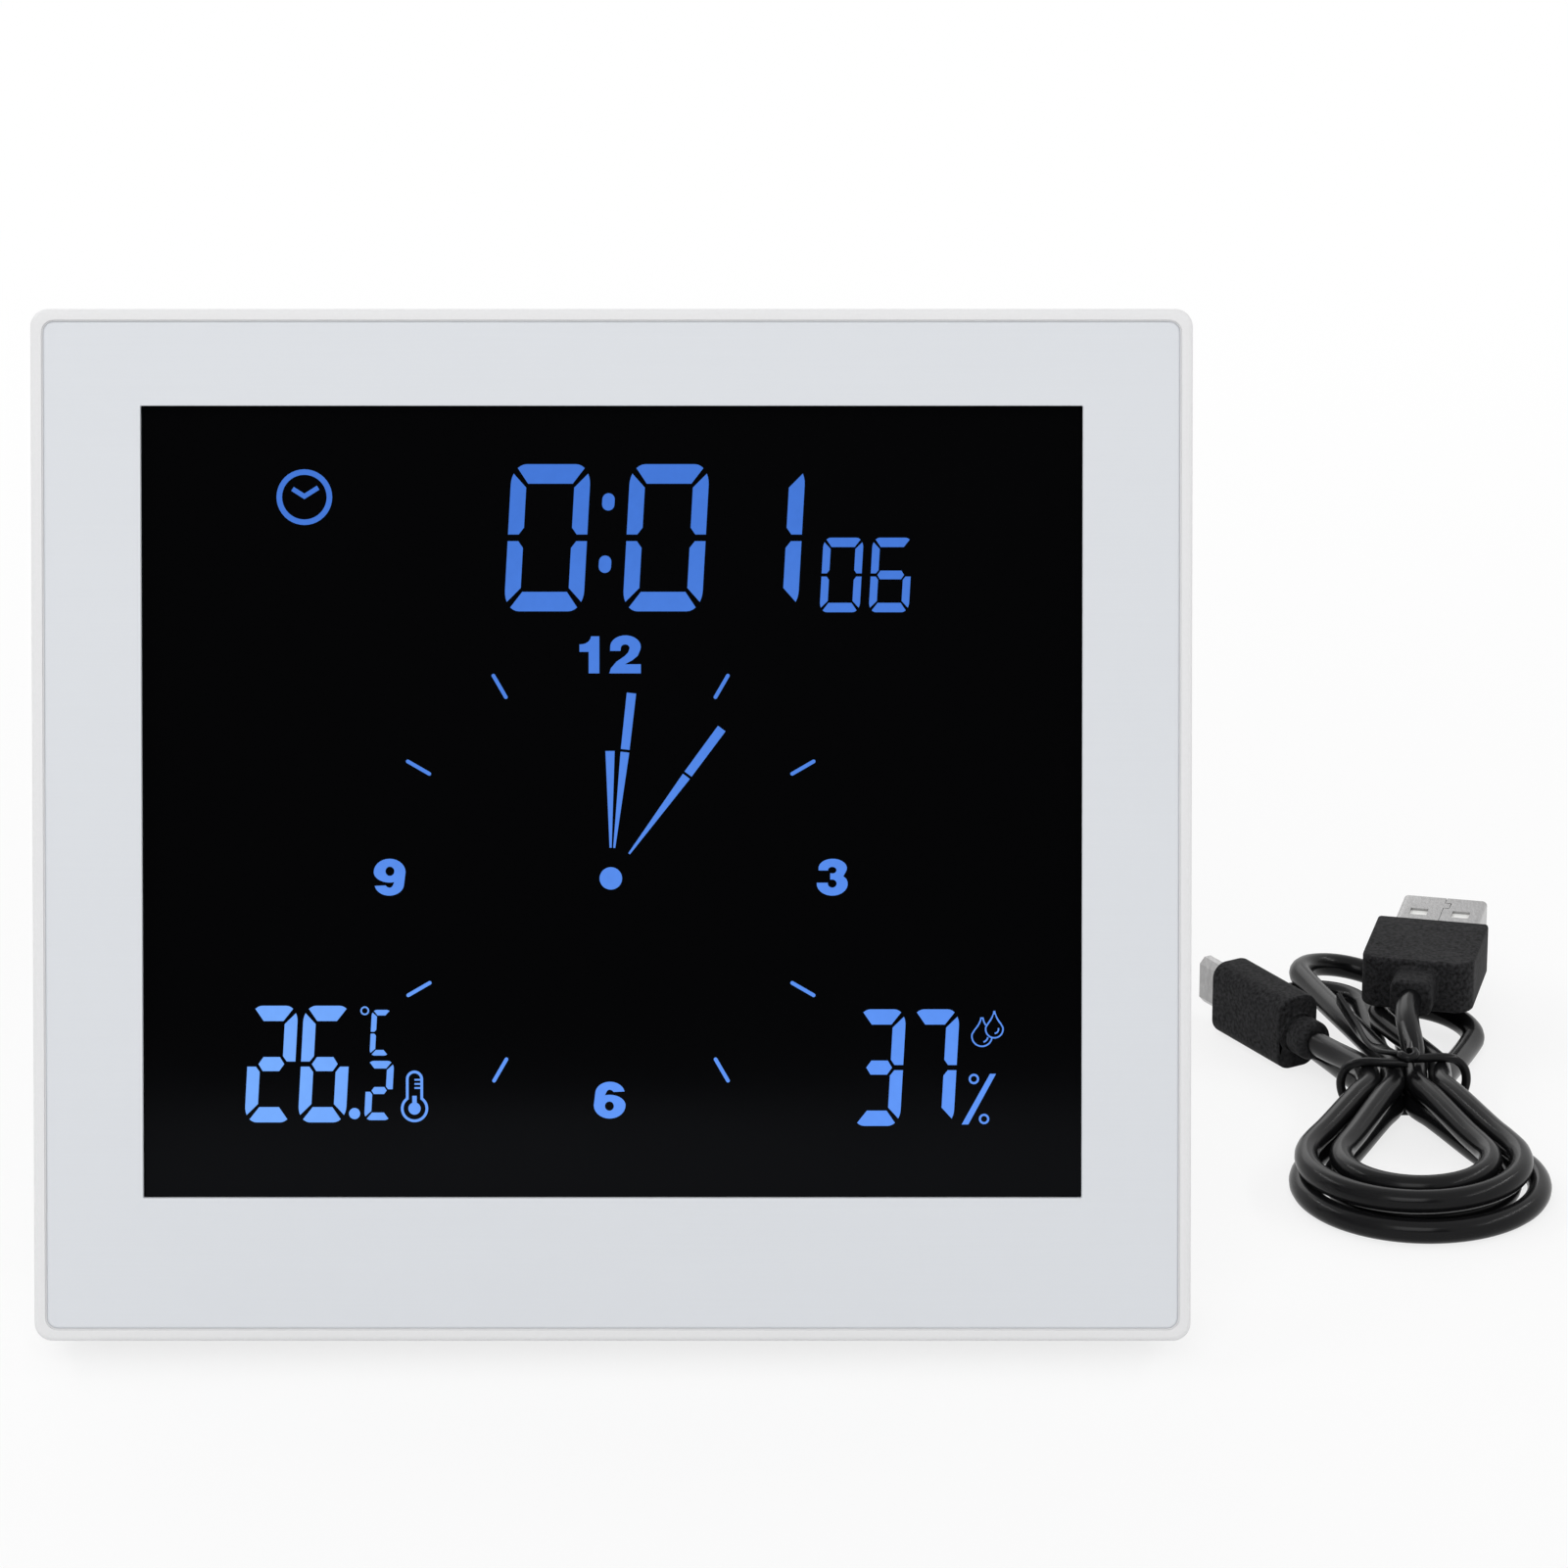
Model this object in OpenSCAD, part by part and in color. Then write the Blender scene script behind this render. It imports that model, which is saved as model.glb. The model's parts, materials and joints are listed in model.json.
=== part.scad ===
// Desk alarm clock with a framed display, a fold-out stand and a loose power lead.
// Millimetres, X to the right, Y to the back, Z up, standing on z = 0.

/* [Case] */
// Width of the front frame
case_w = 147; // [140:1:170]
// Height of the front frame
case_h = 131; // [126:0.5:150]
// Depth from the rim to the back
case_d = 26; // [26:0.5:32]
// Angle that the clock leans back at
lean = 18; // [14:1:22]
// Corner radius of the frame
corner_r = 2.3; // [1.5:0.1:4]
// Wall thickness of the mouldings
wall = 2; // [1.6:0.1:2.4]
// Depth of the front frame
frame_d = 10; // [9:0.5:12]
// Rounding of the rim's outer edge
rim_round = 0.7; // [0.3:0.1:1]
// Step from the frame in to the rear cover
cover_step = 0.6; // [0.4:0.1:1]
// Corner radius of the rear cover
cover_r = 4; // [3.5:0.5:6]
// Rounding of the back's edge
back_round = 2.5; // [1.5:0.1:2.9]
// Distance of the case screws from the sides and the top
screw_edge = 5.5; // [5:0.1:6]
// Height of the lower case screws
screw_low = 12; // [11.5:0.5:13]
// Radius of the case screw's shank
screw_r = 1.25; // [1:0.05:1.4]

/* [Face] */
// Width of the frame's visible rim
rim_w = 1.4; // [1:0.1:2]
// Gap round the face plate
plate_gap = 0.2; // [0.15:0.01:0.4]
// Thickness of the face plate
plate_t = 1.5; // [1:0.1:2]
// Corner radius of the face plate
plate_r = 1.4; // [1:0.1:2]
// Step from the rim back to the plate
plate_set = 0.2; // [0:0.05:0.5]
// Edge break of the face plate
plate_break = 0.2; // [0.1:0.05:0.3]
// Thickness of the plate's adhesive tape
tape_t = 0.2; // [0.1:0.05:0.4]
// Distance of the tape from the plate's edge
tape_in = 1.8; // [1:0.01:3]
// Width of the face plate beside the window
border_side = 12.3; // [12:0.01:16]
// Width of the face plate above the window
border_top = 10.65; // [9:0.01:16]
// Width of the face plate below the window
border_bottom = 16.65; // [13:0.01:24]

/* [Display] */
// Border of the display glass behind the plate
glass_border = 2.8; // [2:0.1:3]
// Thickness of each glass
glass_t = 1.1; // [0.7:0.1:1.3]
// Contact ledge of the rear glass
ledge_h = 4; // [3:0.1:4.5]
// Thickness of the dust gasket
gasket_t = 0.5; // [0.3:0.1:0.8]
// Thickness of the polariser and of each light sheet
film_t = 0.3; // [0.2:0.05:0.4]
// Thickness of the light guide
guide_t = 3; // [2:0.1:3.5]
// Wall of the display carrier
carrier_t = 1.5; // [1.2:0.1:1.8]
// Clearance round the display glass
glass_fit = 0.5; // [0.3:0.1:0.6]
// Width of the flexible lead
flex_w = 26; // [18:1:30]

/* [Stand] */
// Width of the stand
stand_w = 44; // [36:1:46]
// Thickness of the stand
stand_t = 3.6; // [3.4:0.1:4]
// Height of the stand's hinge on the back
hinge_z = 86; // [80:1:90]
// Angle that the stand opens to
stand_open = 30; // [26:1:34]
// Radius of the stand's pin
pin_r = 1; // [0.8:0.05:1.1]
// Clearance of the stand in its recess
stand_fit = 0.4; // [0.3:0.05:0.6]
// Length of the heel above the hinge
heel = 5; // [4.5:0.1:6]
// Thickness of the rubber feet below the case
foot_out = 1; // [0.8:0.1:1.5]
// Length of a rubber foot
foot_w = 24; // [16:1:30]

/* [Battery bay] */
// Diameter of a cell
cell_dia = 10.5; // [10:0.1:10.6]
// Length of a cell with its nub
cell_l = 44.5; // [43:0.1:44.6]
// Pitch of the cells
cell_pitch = 11.6; // [11:0.1:12]
// Room for the springs and contacts at the ends
spring_room = 7.5; // [7:0.1:8]
// Height of the battery door's lower edge
door_low = 18.5; // [18:0.5:20]
// Gap round the battery door
door_gap = 0.3; // [0.2:0.05:0.4]
// Thickness of the battery door
door_t = 1.8; // [1.6:0.1:1.8]

/* [Controls] */
// Length of a button cap
button_w = 10; // [8:0.1:12]
// Height of a button cap
button_h = 5; // [4:0.1:6]
// Distance that a cap stands out of the back
button_out = 1; // [0.5:0.1:1.5]
// Distance from the middle of the vents up to the lowest button
button_room = 11; // [11:0.1:13]
// Clearance round a button cap
button_fit = 0.2; // [0.15:0.05:0.3]
// Thickness of the circuit board
board_t = 1.6; // [1:0.1:2]
// Width of the circuit board
board_w = 38; // [34:1:39]
// Room between the display carrier and the circuit board
board_room = 4.2; // [3.8:0.1:5]
// Side of a switch
switch_s = 6; // [5:0.1:6.5]
// Height of a switch
switch_h = 3.5; // [3:0.1:4]

/* [Power lead] */
// Diameter of the cord
cord_dia = 3.3; // [2.8:0.1:3.4]
// Place of the tie to the right of the clock's centre
lead_x = 107; // [102:1:115]
// Place of the tie behind the clock's centre
lead_y = 50; // [0:1:60]
// Turn of the large plug
plug_a_turn = -13; // [-18:1:-8]
// Turn of the small plug
plug_b_turn = 31; // [26:1:33]

/* [Hidden] */
$fn = 64;
eps = 0.5;
mid_z = case_h / 2;
plate_w = case_w - 2 * rim_w - 2 * plate_gap;
plate_h = case_h - 2 * rim_w - 2 * plate_gap;
window_w = plate_w - 2 * border_side;
window_h = plate_h - border_top - border_bottom;
win_z = mid_z + (border_bottom - border_top) / 2;

// Depths from the rim, front to back
plate_b = plate_set + plate_t;
ledge_f = plate_b + tape_t;
ledge_b = ledge_f + 2;
gasket_b = plate_b + gasket_t;
polar_b = gasket_b + film_t;
glass_m = polar_b + glass_t;
glass_b = glass_m + glass_t;
diffuser_b = glass_b + film_t;
guide_b = diffuser_b + guide_t;
mirror_b = guide_b + film_t;
carrier_b = mirror_b + carrier_t;
inner_d = case_d - wall;
well_f = frame_d + 2;

// Display outlines
glass_w = window_w + 2 * glass_border;
glass_h = window_h + 2 * glass_border;
bay_w = glass_w + 2 * glass_fit;
bay_h = glass_h + ledge_h + 2 * glass_fit;
bay_z = win_z - ledge_h / 2;
bay_low = bay_z - bay_h / 2;
guide_low = win_z - glass_h / 2;
ear_x = bay_w / 2 + carrier_t + 2.8;
ear_r = 2.5;
ear_rise = 30;
ear_pilot_r = 1.05;

// Case outlines
cover_w = case_w - 2 * cover_step;
cover_h = case_h - 2 * cover_step;
post_x = case_w / 2 - screw_edge;
post_zs = [screw_low, case_h - screw_edge];
post_r = 2.8;
well_r = 3.5;
well_bore_r = 2.3;
well_floor = 1.5;
case_screw_l = 8;
bevel_d = frame_d + 2;
front_min = rim_round * (cos(lean) + sin(lean) - 1);
back_max = (case_d - back_round) * cos(lean)
    + (case_h - cover_step - back_round) * sin(lean) + back_round;
place_z = foot_out + bevel_d * sin(lean);
foot_x = case_w / 2 - 26;
foot_s = 6.2;
foot_d = 6;
foot_in = 0.8;

// Stand
recess_d = stand_t + 0.6;
recess_f = case_d - recess_d;
recess_w = stand_w + 2 * stand_fit;
recess_top = hinge_z + heel + 1.2;
hinge_d = case_d - recess_d / 2;
pin_half = recess_w / 2 + 2.6;
stop_s = hinge_d - recess_f - 0.02;
stop_z = (stop_s - stand_t / 2 * cos(stand_open)) / sin(stand_open);
stop_d = (heel * sin(stand_open) - stop_s) / cos(stand_open);
pad_h = 2;
leg_l = hinge_z + 20;
swing = stand_open - lean;
hinge_up = place_z - hinge_d * sin(lean) + hinge_z * cos(lean);
stand_max = hinge_d * cos(lean) + hinge_z * sin(lean) + hinge_up * tan(swing) + stand_t / 2 / cos(swing);
place_y = -(front_min + max(back_max, stand_max)) / 2;

// Battery bay
pocket_w = 2 * cell_pitch + cell_dia + 2;
pocket_h = cell_l + spring_room;
pocket_x = -(recess_w / 2 + cover_w / 2 - wall) / 2;
door_w = pocket_w + 3.6;
door_h = pocket_h + 5.5;
door_z = door_low + door_h / 2;
pocket_b = inner_d;
pocket_f = pocket_b - cell_dia - 1.1;
cell_d = pocket_f + 0.5 + cell_dia / 2;
pocket_top = door_z + pocket_h / 2;
contact_t = 0.4;
cell_low = pocket_h / 2 - contact_t - cell_l;
nose_r = door_t / 2;
door_f = case_d - 0.1 - door_t;
nose_d = door_f + nose_r;
nose_z = door_low + nose_r;
door_pin_r = 0.5;

// Controls
board_x = case_w / 2 - 7.5 - board_w / 2;
board_low = screw_low + 5;
board_top = case_h - 2 * screw_edge - 0.5;
board_h = board_top - board_low;
board_z = (board_low + board_top) / 2;
board_f = carrier_b + board_room;
board_b = board_f + board_t;
hole_edge = 3.5;
board_hole_x = board_w / 2 - hole_edge;
board_hole_z = board_h / 2 - hole_edge;
board_post_r = 2.4;
board_pilot_r = 1.05;
small_screw_r = 1;
small_head_r = 1.9;
small_head_h = 1.3;
small_hole_r = small_screw_r + 0.2;
head_room = 0.4;
carrier_screw_l = carrier_t + 3;
board_screw_l = board_t + 4.4;
button_x = board_x;
flange_f = inner_d - 0.8;
switch_b = board_b + switch_h;
plunger_r = 1.7;
inlet_z = board_low + 9;
sensor_z = inlet_z + 16;
button_top = board_top - 10;
button_low = sensor_z + button_room;
button_pitch = (button_top - button_low) / 4;
buzzer_x = pocket_x;
buzzer_z = (door_low + door_h + case_h) / 2 - 2;
buzzer_r = 13;
flex_d = board_f - 1.3;
socket_low = board_low + hole_edge + small_head_r + 0.6;
socket_h = 4;
socket_t = 2.2;
socket_over = 1.5;
flex_t = 0.15;
flex_low = bay_low + 0.17;

// Power lead
tie_t = 1.3;
pile_h = 7;
waist_top = 8.1;
grip_a_w = 15.8;
grip_a_l = 16.5;
grip_a_t = 7.5;
grip_a_r = 2.6;
shell_a_w = 12;
shell_a_t = 4.5;
shell_a_l = 12.2;
shell_a_r = 0.7;
sheet_t = 0.35;
sink_a = 4;
latch_w = 2.5;
latch_l = 2.4;
insert_t = 1.8;
boot_a_l = 5;
boot_a_w = 5.9;
boot_a_t = 5.2;
plug_a = [3.2, 16.3 + boot_a_l, pile_h + grip_a_t / 2];
grip_b_w = 10.6;
grip_b_t = 6.6;
grip_b_l = 16.6;
shell_b_w = 6.85;
shell_b_t = 1.8;
shell_b_l = 6.6;
sheet_b_t = 0.3;
sink_b = 3;
boot_b_l = 4.4;
boot_b_r = 2.8;
boot_gap = 0.2;
plug_b = [-13.4, 17.6, grip_b_w / 2];

// Rounded rectangle about the origin
module rrect(w, h, r) {
    square([w - 2 * r, h], center = true);
    square([w, h - 2 * r], center = true);
    for (sx = [-1, 1], sy = [-1, 1])
        translate([sx * (w / 2 - r), sy * (h / 2 - r)])
            circle(r);
}

// Plate parallel to the face, from depth d0 to d1
module slab(w, h, r, d0, d1, x, z) {
    translate([x, d1, z])
        rotate([90, 0, 0])
            linear_extrude(d1 - d0)
                rrect(w, h, r);
}

// Square-cornered plate parallel to the face
module block(w, h, d0, d1, x, z) {
    translate([x - w / 2, d0, z - h / 2])
        cube([w, d1 - d0, h]);
}

// Round bar along the depth
module bar(r, d0, d1, x, z) {
    translate([x, d1, z])
        rotate([90, 0, 0])
            cylinder(r = r, h = d1 - d0);
}

// Edge of a rounded plate, as the waste outside a quarter round
module edge_waste(r, R) {
    difference() {
        translate([R - r, -r])
            square([r + 1, r + 1]);
        translate([R - r, -r])
            circle(r);
    }
}

// Edge of a rounded plate, as the waste outside a bevel
module bevel_waste(c, R) {
    polygon([[R - c, 0], [R, -c], [R + 1, -c], [R + 1, 1], [R - c, 1]]);
}

// Sweeps an edge profile round a plate whose top face is z = 0
module round_edge(w, h, R) {
    for (q = [0 : 3]) {
        a = q % 2 == 0 ? w / 2 - R : h / 2 - R;
        b = q % 2 == 0 ? h / 2 - R : w / 2 - R;
        rotate([0, 0, 90 * q]) {
            translate([a, b, 0])
                rotate([90, 0, 0])
                    linear_extrude(2 * b)
                        children();
            translate([a, b, 0])
                rotate_extrude(angle = 90)
                    children();
        }
    }
}

// Puts the clock's own frame into its leaning place
module leaning() {
    translate([0, place_y, place_z])
        rotate([-lean, 0, 0])
            children();
}

// Puts a piece on the sloping underside, level with the table
module underside() {
    translate([0, bevel_d, 0])
        rotate([lean, 0, 0])
            children();
}

// Everything under the sloping underside, moved up by a wall
module under_slope(t) {
    underside()
        translate([-case_w, -case_d, -case_d + t])
            cube([2 * case_w, 3 * case_d, case_d]);
}

// Everything below a level above the table
module below(level) {
    translate([-case_w, -case_w, level - case_w])
        cube([2 * case_w, 2 * case_w, case_w]);
}

// Swings a piece of the stand out from the back
module swung() {
    leaning()
        translate([0, hinge_d, hinge_z])
            rotate([stand_open, 0, 0])
                children();
}

// Screw with a pan head, its head on depth d and its tip to the front
module screw(r, head_r, head_h, l, d, x, z) {
    difference() {
        union() {
            bar(r, d - l, d, x, z);
            bar(head_r, d, d + head_h, x, z);
        }
        block(head_r * 1.2, 0.5, d + head_h - 0.6, d + head_h + eps, x, z);
        block(0.5, head_r * 1.2, d + head_h - 0.6, d + head_h + eps, x, z);
    }
}

module front_frame() {
    color([0.79, 0.79, 0.80])
        leaning()
            difference() {
                union() {
                    difference() {
                        slab(case_w, case_h, corner_r, 0, frame_d, 0, mid_z);
                        translate([0, 0, mid_z])
                            rotate([90, 0, 0])
                                round_edge(case_w, case_h, corner_r)
                                    edge_waste(rim_round, corner_r);
                        slab(case_w - 2 * rim_w, case_h - 2 * rim_w, plate_r + plate_gap,
                            -eps, ledge_f, 0, mid_z);
                        block(case_w - 2 * wall, case_h - 2 * wall, ledge_b, frame_d + eps, 0, mid_z);
                    }
                    for (sx = [-1, 1], z = post_zs)
                        bar(post_r, ledge_f + 0.8, well_f, sx * post_x, z);
                    for (sx = [-1, 1], sz = [-1, 1])
                        bar(ear_r, ledge_f + 0.8, mirror_b, sx * ear_x, mid_z + sz * ear_rise);
                }
                block(bay_w, bay_h, 0, ledge_b + eps, 0, bay_z);
                for (sx = [-1, 1], z = post_zs)
                    bar(screw_r + 0.05, ledge_f + 1.6, well_f + eps, sx * post_x, z);
                for (sx = [-1, 1], sz = [-1, 1])
                    bar(ear_pilot_r, ledge_f + 1.2, mirror_b + eps, sx * ear_x, mid_z + sz * ear_rise);
            }
}

module face_plate() {
    color([0.71, 0.73, 0.76])
        leaning()
            difference() {
                slab(plate_w, plate_h, plate_r, plate_set, plate_b, 0, mid_z);
                translate([0, plate_set, mid_z])
                    rotate([90, 0, 0])
                        round_edge(plate_w, plate_h, plate_r)
                            bevel_waste(plate_break, plate_r);
                block(window_w, window_h, -eps, plate_b + eps, 0, win_z);
            }
}

module plate_tape() {
    color([0.15, 0.15, 0.16])
        leaning()
            difference() {
                block(plate_w - 2 * tape_in, plate_h - 2 * tape_in, plate_b, ledge_f, 0, mid_z);
                block(bay_w + 2 * glass_fit, bay_h + 2 * glass_fit, 0, ledge_b, 0, bay_z);
            }
}

module window_gasket() {
    color([0.05, 0.05, 0.05])
        leaning()
            difference() {
                block(glass_w - 1, glass_h - 1, plate_b, gasket_b, 0, win_z);
                block(window_w + 1.2, window_h + 1.2, 0, case_d, 0, win_z);
            }
}

module lcd_polariser() {
    color([0.02, 0.02, 0.02])
        leaning()
            block(glass_w - 1, glass_h - 1, gasket_b, polar_b, 0, win_z);
}

module lcd_front_glass() {
    color([0.10, 0.12, 0.14])
        leaning()
            block(glass_w, glass_h, polar_b, glass_m, 0, win_z);
}

module lcd_rear_glass() {
    color([0.12, 0.14, 0.16])
        leaning()
            block(glass_w, glass_h + ledge_h, glass_m, glass_b, 0, bay_z);
}

module diffuser_sheet() {
    color([0.80, 0.85, 0.90])
        leaning()
            block(glass_w - 1, glass_h, glass_b, diffuser_b, 0, win_z);
}

module light_guide() {
    color([0.75, 0.85, 0.95])
        leaning()
            block(glass_w - 1, glass_h, diffuser_b, guide_b, 0, win_z);
}

module reflector_sheet() {
    color([0.90, 0.90, 0.90])
        leaning()
            block(glass_w - 1, glass_h, guide_b, mirror_b, 0, win_z);
}

// Strip with its lamps against the light guide's lower edge
module led_bar() {
    color([0.85, 0.85, 0.80])
        leaning() {
            block(glass_w * 0.8, 1, diffuser_b, mirror_b, 0, guide_low - 2);
            for (k = [-3 : 3])
                block(4, 1.5, diffuser_b + 0.3, guide_b, k * glass_w * 0.12, guide_low - 0.75);
        }
}

module display_carrier() {
    color([0.88, 0.88, 0.86])
        leaning()
            difference() {
                union() {
                    block(bay_w + 2 * carrier_t, bay_h + 2 * carrier_t, ledge_b, carrier_b, 0, bay_z);
                    for (sx = [-1, 1], sz = [-1, 1]) {
                        bar(2.8, mirror_b, carrier_b, sx * ear_x, mid_z + sz * ear_rise);
                        block(3, 4.6, mirror_b, carrier_b, sx * (ear_x - 2), mid_z + sz * ear_rise);
                    }
                }
                block(bay_w, bay_h, 0, mirror_b, 0, bay_z);
                for (sx = [-1, 1], sz = [-1, 1])
                    bar(small_hole_r, mirror_b - eps, carrier_b + eps, sx * ear_x, mid_z + sz * ear_rise);
                block(flex_w + 1, 0.9, mirror_b - eps, carrier_b + eps, board_x, bay_low + 0.45);
            }
}

module carrier_screws() {
    color([0.60, 0.60, 0.58])
        leaning()
            for (sx = [-1, 1], sz = [-1, 1])
                screw(small_screw_r, small_head_r, small_head_h, carrier_screw_l, carrier_b,
                    sx * ear_x, mid_z + sz * ear_rise);
}

// Lead bonded to the glass ledge, folded round it and up to the board
module flex_lead() {
    color([0.75, 0.45, 0.12])
        leaning()
            translate([board_x - flex_w / 2, 0, 0])
                rotate([90, 0, 90])
                    linear_extrude(flex_w) {
                        translate([glass_m - flex_t, flex_low])
                            square([flex_t, ledge_h - 0.2]);
                        translate([glass_m - flex_t, flex_low])
                            square([flex_d - glass_m + 2 * flex_t, flex_t]);
                        translate([flex_d, flex_low])
                            square([flex_t, socket_low - flex_low]);
                    }
}

module flex_socket() {
    color([0.85, 0.83, 0.76])
        leaning()
            block(flex_w + 2 * socket_over, socket_h, board_f - socket_t, board_f, board_x,
                socket_low + socket_h / 2);
}

module main_board() {
    color([0.05, 0.28, 0.14])
        leaning()
            difference() {
                block(board_w, board_h, board_f, board_b, board_x, board_z);
                for (sx = [-1, 1], sz = [-1, 1])
                    bar(small_hole_r, board_f - eps, board_b + eps,
                        board_x + sx * board_hole_x, board_z + sz * board_hole_z);
            }
}

module board_screws() {
    color([0.60, 0.60, 0.58])
        leaning()
            for (sx = [-1, 1], sz = [-1, 1])
                translate([board_x + sx * board_hole_x, board_f, board_z + sz * board_hole_z])
                    rotate([0, 0, 180])
                        screw(small_screw_r, small_head_r, small_head_h, board_screw_l, 0, 0, 0);
}

module control_chip() {
    color([0.04, 0.04, 0.04])
        leaning()
            slab(10, 10, 0.6, board_f - 1.2, board_f, board_x, board_z);
}

module buzzer() {
    color([0.72, 0.58, 0.28])
        leaning() {
            bar(buzzer_r, inner_d - 2.8, inner_d - 2.5, buzzer_x, buzzer_z);
            bar(buzzer_r * 0.72, inner_d - 3, inner_d - 2.8, buzzer_x, buzzer_z);
        }
}

module climate_sensor() {
    color([0.90, 0.90, 0.90])
        leaning()
            difference() {
                block(8, 6, board_b, board_b + 2.4, board_x, sensor_z);
                for (k = [-1, 0, 1])
                    block(1, 4, board_b + 1.4, board_b + 3, board_x + 2 * k, sensor_z);
            }
}

function button_z(k) = button_top - k * button_pitch;

module tact_switches() {
    color([0.10, 0.10, 0.11])
        leaning()
            for (k = [0 : 4])
                difference() {
                    block(switch_s, switch_s, board_b, switch_b, button_x, button_z(k));
                    bar(plunger_r + 0.1, board_b + 1, switch_b + eps, button_x, button_z(k));
                }
}

module plunger(k) {
    color([0.20, 0.20, 0.22])
        leaning()
            bar(plunger_r, board_b + 1.7, flange_f, button_x, button_z(k));
}

module mode_plunger() {
    plunger(0);
}

module up_plunger() {
    plunger(1);
}

module down_plunger() {
    plunger(2);
}

module alarm_plunger() {
    plunger(3);
}

module snooze_plunger() {
    plunger(4);
}

// Cap with a flange that keeps it behind the cover
module button(k) {
    color([0.62, 0.63, 0.65])
        leaning()
            difference() {
                union() {
                    slab(button_w, button_h, button_h / 2 - 0.01, flange_f, case_d + button_out,
                        button_x, button_z(k));
                    slab(button_w + 2.4, button_h + 2.4, button_h / 2 + 1, flange_f, inner_d - 0.1,
                        button_x, button_z(k));
                }
                translate([button_x, case_d + button_out, button_z(k)])
                    rotate([-90, 0, 0])
                        round_edge(button_w, button_h, button_h / 2 - 0.01)
                            bevel_waste(0.4, button_h / 2 - 0.01);
            }
}

module mode_button() {
    button(0);
}

module up_button() {
    button(1);
}

module down_button() {
    button(2);
}

module alarm_button() {
    button(3);
}

module snooze_button() {
    button(4);
}

// Socket for the small plug, standing on the board
module inlet_shell() {
    color([0.75, 0.75, 0.76])
        leaning()
            difference() {
                slab(7.8, 3, 0.7, board_b, inner_d - 0.3, board_x, inlet_z);
                slab(7.2, 2.4, 0.4, board_b + 1.5, case_d, board_x, inlet_z);
            }
}

module inlet_tongue() {
    color([0.08, 0.08, 0.08])
        leaning()
            block(4.4, 0.5, board_b + 1.5, inner_d - 1, board_x, inlet_z);
}

// Outer form of the rear cover
module cover_form() {
    difference() {
        slab(cover_w, cover_h, cover_r, frame_d, case_d, 0, mid_z);
        translate([0, case_d, mid_z])
            rotate([-90, 0, 0])
                round_edge(cover_w, cover_h, cover_r)
                    edge_waste(back_round, cover_r);
        under_slope(0);
    }
}

// Hollow of the rear cover
module cover_hollow() {
    difference() {
        slab(cover_w - 2 * wall, cover_h - 2 * wall, cover_r - wall, frame_d - eps, inner_d, 0, mid_z);
        under_slope(wall);
    }
}

// Tabs that locate the cover inside the frame
module cover_tabs() {
    for (sx = [-1, 1])
        block(1.4, case_h * 0.3, frame_d - 2, frame_d + 2, sx * (case_w / 2 - wall - 0.9), mid_z);
    for (sz = [-1, 1])
        block(case_w * 0.6, 1.4, frame_d - 2, frame_d + 2, 0, mid_z + sz * (case_h / 2 - wall - 0.9));
}

// Walls that the cover carries on its inside
module cover_inside() {
    for (sx = [-1, 1], z = post_zs)
        bar(well_r, well_f, inner_d + 1, sx * post_x, z);
    for (sx = [-1, 1], sz = [-1, 1])
        bar(board_post_r, board_b, inner_d + 1, board_x + sx * board_hole_x, board_z + sz * board_hole_z);
    block(recess_w + 3, recess_top + 1.5, recess_f - wall, inner_d + 1, 0, (recess_top + 1.5) / 2);
    block(2 * pin_half + 2.4, 7, hinge_d - 3, inner_d + 1, 0, hinge_z);
    block(pocket_w + 3, pocket_h + 3, pocket_f - 1.5, inner_d + 1, pocket_x, door_z);
    block(door_w + 4, door_h + 4, inner_d - 1.5, inner_d + 1, pocket_x, door_z);
    bar(buzzer_r, inner_d - 2.5, inner_d + 1, buzzer_x, buzzer_z);
}

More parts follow.
